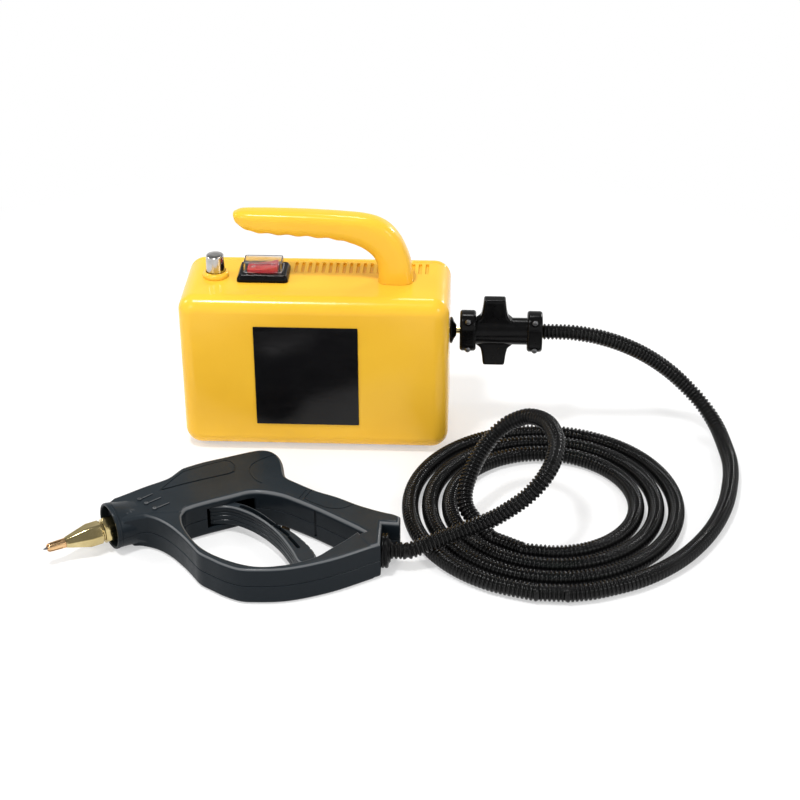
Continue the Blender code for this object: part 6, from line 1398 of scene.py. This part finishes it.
def trigger_cuts():
    """Pockets, bores, the slot and window for the latch, and the teeth in the rear edge."""
    depths = [(0.0006, TRIGGER_TOP - 0.0075), (0.0001, TRIGGER_TOP - 0.0004), (0, TRIGGER_TOP + 0.001)]
    tools = [slab("pocket", ribbon(blade_line(share, start, end), width, 0.004), depths)
             for share, start, end, width in POCKETS]
    pin, latch = (*TRIGGER_PIN, GUN_MIDDLE), (*LATCH_PIN, GUN_MIDDLE)
    tools += [
        moved(rod(0.0021, -0.012, 0.012, 28), pin),
        moved(box_mesh("latch_slot", (-0.0032, -0.0032, -0.0043), (0.0135, 0.0150, 0.0043)),
              latch, LATCH_REST),
        moved(box_mesh("latch_window", (0.0036, -0.0030, 0.0030), (0.0150, 0.0150, TRIGGER_HALF + 0.0020)),
              latch, LATCH_REST),
        moved(rod(0.0015, -0.012, 0.012, 20), latch),
        moved(rod(0.0042, TRIGGER_HALF - 0.0050, TRIGGER_HALF + 0.0020, 40), pin),
    ]
    for index in range(4):
        spot = Vector((0.1268, -0.1080)).lerp(Vector((0.1266, -0.1310)), index / 3)
        tooth = box_mesh("tooth", (-0.0018, -0.0018, -0.02), (0.0018, 0.0018, 0.02))
        tools.append(moved(tooth, (*spot, GUN_MIDDLE), spun(45)))
    return tools


def make_trigger():
    outline = curve(gun_spots(TRIGGER), (0, 19, 20, 21), 0.0015, 0.0018)
    form = moved(slab("trigger_form", outline, trigger_levels()), (0, 0, GUN_MIDDLE))
    gun_piece("trigger_blade", cut(form, *trigger_cuts()), DARK, "dark_plastic", body="trigger",
              replaces=("trigger",))


def latch_outline():
    """Round eye, bar and a toothed back."""
    bar, length = LATCH_BAR, LATCH_LENGTH
    outline = []
    for step in range(17):
        angle = math.pi * (0.25 + 1.5 * step / 16)
        outline.append((LATCH_EYE * math.cos(angle), LATCH_EYE * math.sin(angle)))
    outline += [(length, -bar / 2), (length + bar * 0.35, -bar * 0.35), (length + bar / 2, 0),
                (length, bar / 2)]
    for tooth in range(4):
        x = length - 0.0012 - tooth * 0.0017
        outline += [(x, bar / 2), (x - 0.0004, bar / 2 - 0.0006), (x - 0.0009, bar / 2)]
    return outline


def latch_ridge():
    """The raised thumb ridge with its own teeth."""
    bar, length = LATCH_BAR, LATCH_LENGTH
    back = bar / 2 + 0.0014
    outline = [(0.0046, -bar / 2), (length, -bar / 2), (length + bar * 0.35, -bar * 0.35),
               (length + bar / 2, 0), (length + 0.0006, back)]
    for tooth in range(4):
        x = length - 0.0004 - tooth * 0.0018
        outline += [(x, back), (x - 0.0005, back - 0.0011), (x - 0.0010, back)]
    return outline + [(0.0036, back)]


def make_latch():
    levels = [(0.0003, -0.0040), (0, -0.0036), (0, 0.0036), (0.0003, 0.0040)]
    form = slab("latch_form", latch_outline(), levels)
    ridge = slab("ridge", latch_ridge(), [(0.0001, 0.0020), (0.0001, 0.0074), (0.0004, 0.0080)])
    form = moved(shaped(form, ridge, "UNION"), (0, 0, 0), LATCH_REST)
    stubs = soften(((0.0009, -0.0083), (0.0012, -0.0079), (0.0012, 0.0079), (0.0009, 0.0083)), 0.0002, 2)
    form = shaped(form, lathe("stubs", stubs, 24), "UNION")
    gun_piece("latch_bar", moved(form, (*LATCH_PIN, GUN_MIDDLE)), BLACK, "black_plastic", body="latch",
              replaces=("safety_latch",))


def make_gland():
    profile = soften((
        (0.0045, -0.0035), (0.0078, -0.0035), (0.0078, FIT), (0.0142, FIT), (0.0148, 0.0008),
        (0.0148, 0.0022), (0.0140, 0.0026), (0.0140, 0.0032), (0.0148, 0.0036), (0.0148, 0.0052),
        (0.0138, 0.0062), (0.0120, 0.0062), (0.0116, 0.0056), (0.0108, 0.0056), (0.0104, 0.0070),
        (0.0094, 0.0078), (0.0080, 0.0078), (0.0078, 0.0060), (0.0045, 0.0060)), 0.0004, 3)
    form = at_gland(lathe("gland_form", profile, 72, True))
    gun_piece("gland_ring", form, BLACK, "black_plastic", 32, replaces=("hose_gland",))


# Nozzle

def hexagon_ring(radius, hexness, x, turn):
    """A ring that lies between a circle and a hexagon of that corner radius, its corners turned off."""
    ring = []
    for side in range(96):
        angle = 2 * math.pi * side / 96
        flat = (angle % (math.pi / 3)) - math.pi / 6
        corner = math.cos(math.pi / 6) / math.cos(flat)
        reach = radius * min(1 - hexness + hexness * corner, 0.972)
        ring.append((x, reach * math.cos(angle + turn), reach * math.sin(angle + turn)))
    return ring


def hexagon_form(name, sections, degrees):
    """A bored form through (corner radius, how hexagonal, place along the gun) sections."""
    form = skin(name, [hexagon_ring(*section, math.radians(degrees)) for section in sections])
    return shaped(form, moved(rod(0.0015, -0.08, 0.03, 24), (0, 0, 0), ALONG_X))


def nozzle_piece(name, form, material, slot, sharp=24, **more):
    gun_piece(name, moved(form, (0, 0, GUN_MIDDLE)), material, slot, sharp, **more)


def make_nozzle():
    nut = ((0.0098, 0.0, -0.0060), (0.0108, 0.55, -0.0054), (0.0118, 1.0, -0.0044), (0.0118, 1.0, 0.0082),
           (0.0108, 0.55, 0.0094), (0.0098, 0.0, 0.0100))
    nozzle_piece("hex_nut", hexagon_form("nut", nut, 20), BRASS, "brass", replaces=("nozzle_nut",))
    body = ((0.0084, 0.0, -0.0063), (0.0084, 0.0, -0.0074), (0.0094, 0.60, -0.0076), (0.0104, 1.0, -0.0084),
            (0.0104, 1.0, -0.0188), (0.0052, 1.0, -0.0372), (0.0046, 0.5, -0.0388), (0.0044, 0.0, -0.0393))
    nozzle_piece("hex_body", hexagon_form("body", body, -5), BRASS, "brass", replaces=("nozzle_body",))

    profile = soften(((0.0042, -0.0396), (0.0042, -0.0420), (0.0040, -0.0500), (0.0037, -0.0538),
                      (0.0028, -0.0551), (0.0016, -0.0551), (0.0014, -0.0530)), 0.0005, 4)
    tip = lathe("tip", [(0.0001, -0.0396)] + profile + [(0.0001, -0.0530)], 56)
    slit = box_mesh("slit", (-0.0570, -0.0055, -0.00045), (-0.0430, 0.0055, 0.00045))
    slits = [moved(slit.copy(), (0, 0, 0), spun(degrees, "X")) for degrees in (20, 110)]
    nozzle_piece("copper_tip", cut(moved(tip, (0, 0, 0), ALONG_X), *slits), COPPER, "copper",
                 replaces=("nozzle_tip",))
    profile = soften(((0.0001, -0.0533), (0.0010, -0.0533), (0.0010, -0.0565), (0.0007, -0.0578),
                      (0.0002, -0.0585)), 0.0003, 3)
    needle = lathe("needle", profile, 24)
    nozzle_piece("tip_needle", moved(needle, (0, 0, 0), ALONG_X), DARK_STEEL, "brass", 30)


# Floor, light and world

FLOOR_MIDDLE = (0.02, -0.02, 0)
# Share of plain white near the object, and the distances between which it grows to all
FLOOR_WHITE_NEAR = 0.45
FLOOR_FADE = (0.36, 0.75)
FLOOR_SIDES = 96
# Soft light of the world, and the darker ceiling that glossy and clear surfaces see above the white
SOFT_LIGHT = 0.50
CEILING_START, CEILING_END, CEILING_WHITE = 0.24, 0.58, 0.22
# Name, place, target, size and power
LAMPS = (
    ("key", (-0.25, -0.36, 1.50), (0, 0, 0.05), (0.20, 0.20), 14.0),
    ("fill", (0.90, -0.62, 0.70), (0, -0.05, 0.05), (0.26, 0.26), 3.3),
    ("front", (-0.70, -1.10, 0.75), (0, 0, 0.08), (0.5, 0.4), 3.5),
    ("back", (0.10, 0.80, 1.20), (0.05, 0, 0.05), (0.22, 0.22), 3.0),
    ("rim", (1.10, 1.50, 0.58), (0.18, 0, 0.05), (0.20, 0.20), 9.0),
    ("side", (-0.95, 0.15, 0.75), (0, 0, 0.08), (0.22, 0.22), 2.4),
)


def make_lamps():
    for name, place, target, size, power in LAMPS:
        data = bpy.data.lights.new(name, "AREA")
        data.shape = "RECTANGLE"
        data.size, data.size_y = size
        data.energy = power
        lamp = link(name, data)
        way = (Vector(target) - Vector(place)).normalized()
        turn = way.to_track_quat("-Z", "Y").to_matrix().to_4x4()
        lamp.matrix_world = Matrix.Translation(Vector(place)) @ turn


def floor_white():
    """White card that keeps a soft shadow near the object and goes over into plain white further out."""
    look = Surface("floor_white", Specular_IOR_Level=0.0)
    colour = look.ramp(look.noise(3.0, 2.0, 0.5), ((0.3, (0.925, 0.925, 0.925)), (0.7, (0.94, 0.94, 0.94))))
    look.finish(colour, look.span(look.noise(9.0), 0.85, 0.95))
    middle = look.node("VectorMath", {0: look.place.outputs["Object"], 1: FLOOR_MIDDLE},
                       operation="DISTANCE")
    away = look.span(middle.outputs["Value"], FLOOR_WHITE_NEAR, 1.0, *FLOOR_FADE)
    glow = look.node("Emission", {})
    blend = look.node("MixShader", {0: look.product(away, seen_rays(look.tree)),
                                    1: look.shader.outputs[0], 2: glow.outputs[0]})
    look.tree.links.new(blend.outputs[0], look.tree.nodes["Material Output"].inputs["Surface"])
    return look.material


def make_floor():
    rings = [circle(radius, -0.0002, FLOOR_SIDES) for radius in (0.5, 2.0, 9.0)]
    points = [point for ring in rings for point in ring]
    faces = [tuple(range(FLOOR_SIDES))]
    for inner in (0, FLOOR_SIDES):
        outer = inner + FLOOR_SIDES
        for side in range(FLOOR_SIDES):
            beside = (side + 1) % FLOOR_SIDES
            faces.append((inner + side, outer + side, outer + beside, inner + beside))
    floor = link("floor", mesh_from("floor", points, faces))
    floor.data.materials.append(floor_white())


def make_world():
    """Soft light, plain white for the camera, and white under a darker ceiling for reflections."""
    world = bpy.data.worlds.new("world")
    bpy.context.scene.world = world
    world.use_nodes = True
    tree = world.node_tree
    soft = tree.nodes["Background"]
    soft.inputs["Color"].default_value = (1, 1, 1, 1)
    soft.inputs["Strength"].default_value = SOFT_LIGHT
    way = wired(tree, "TexCoord", {}).outputs["Generated"]
    rise = wired(tree, "SeparateXYZ", {"Vector": way}).outputs["Z"]
    ceiling = wired(tree, "MapRange", {"Value": rise, "From Min": CEILING_START, "From Max": CEILING_END,
                                       "To Min": 1.0, "To Max": CEILING_WHITE}).outputs["Result"]
    camera = wired(tree, "LightPath", {}).outputs["Is Camera Ray"]
    white = wired(tree, "Background", {"Color": (1, 1, 1, 1), "Strength": greater(tree, camera, ceiling)})
    mix = wired(tree, "MixShader", {0: seen_rays(tree), 1: soft.outputs[0], 2: white.outputs[0]})
    tree.links.new(mix.outputs[0], tree.nodes["World Output"].inputs["Surface"])
    bpy.context.scene.view_settings.view_transform = "Standard"


make_camera()
dress_solids()
make_hose()
make_housing()
make_back_cover()
make_handle()
make_filler()
make_switch_frame()
make_boot()
make_rocker()
make_marks()
make_label()
make_fasteners()
make_feet()
make_inlet()
make_outlet_cone()
make_coupling()
make_gun()
make_trigger()
make_latch()
make_gland()
make_nozzle()
make_floor()
make_world()
make_lamps()
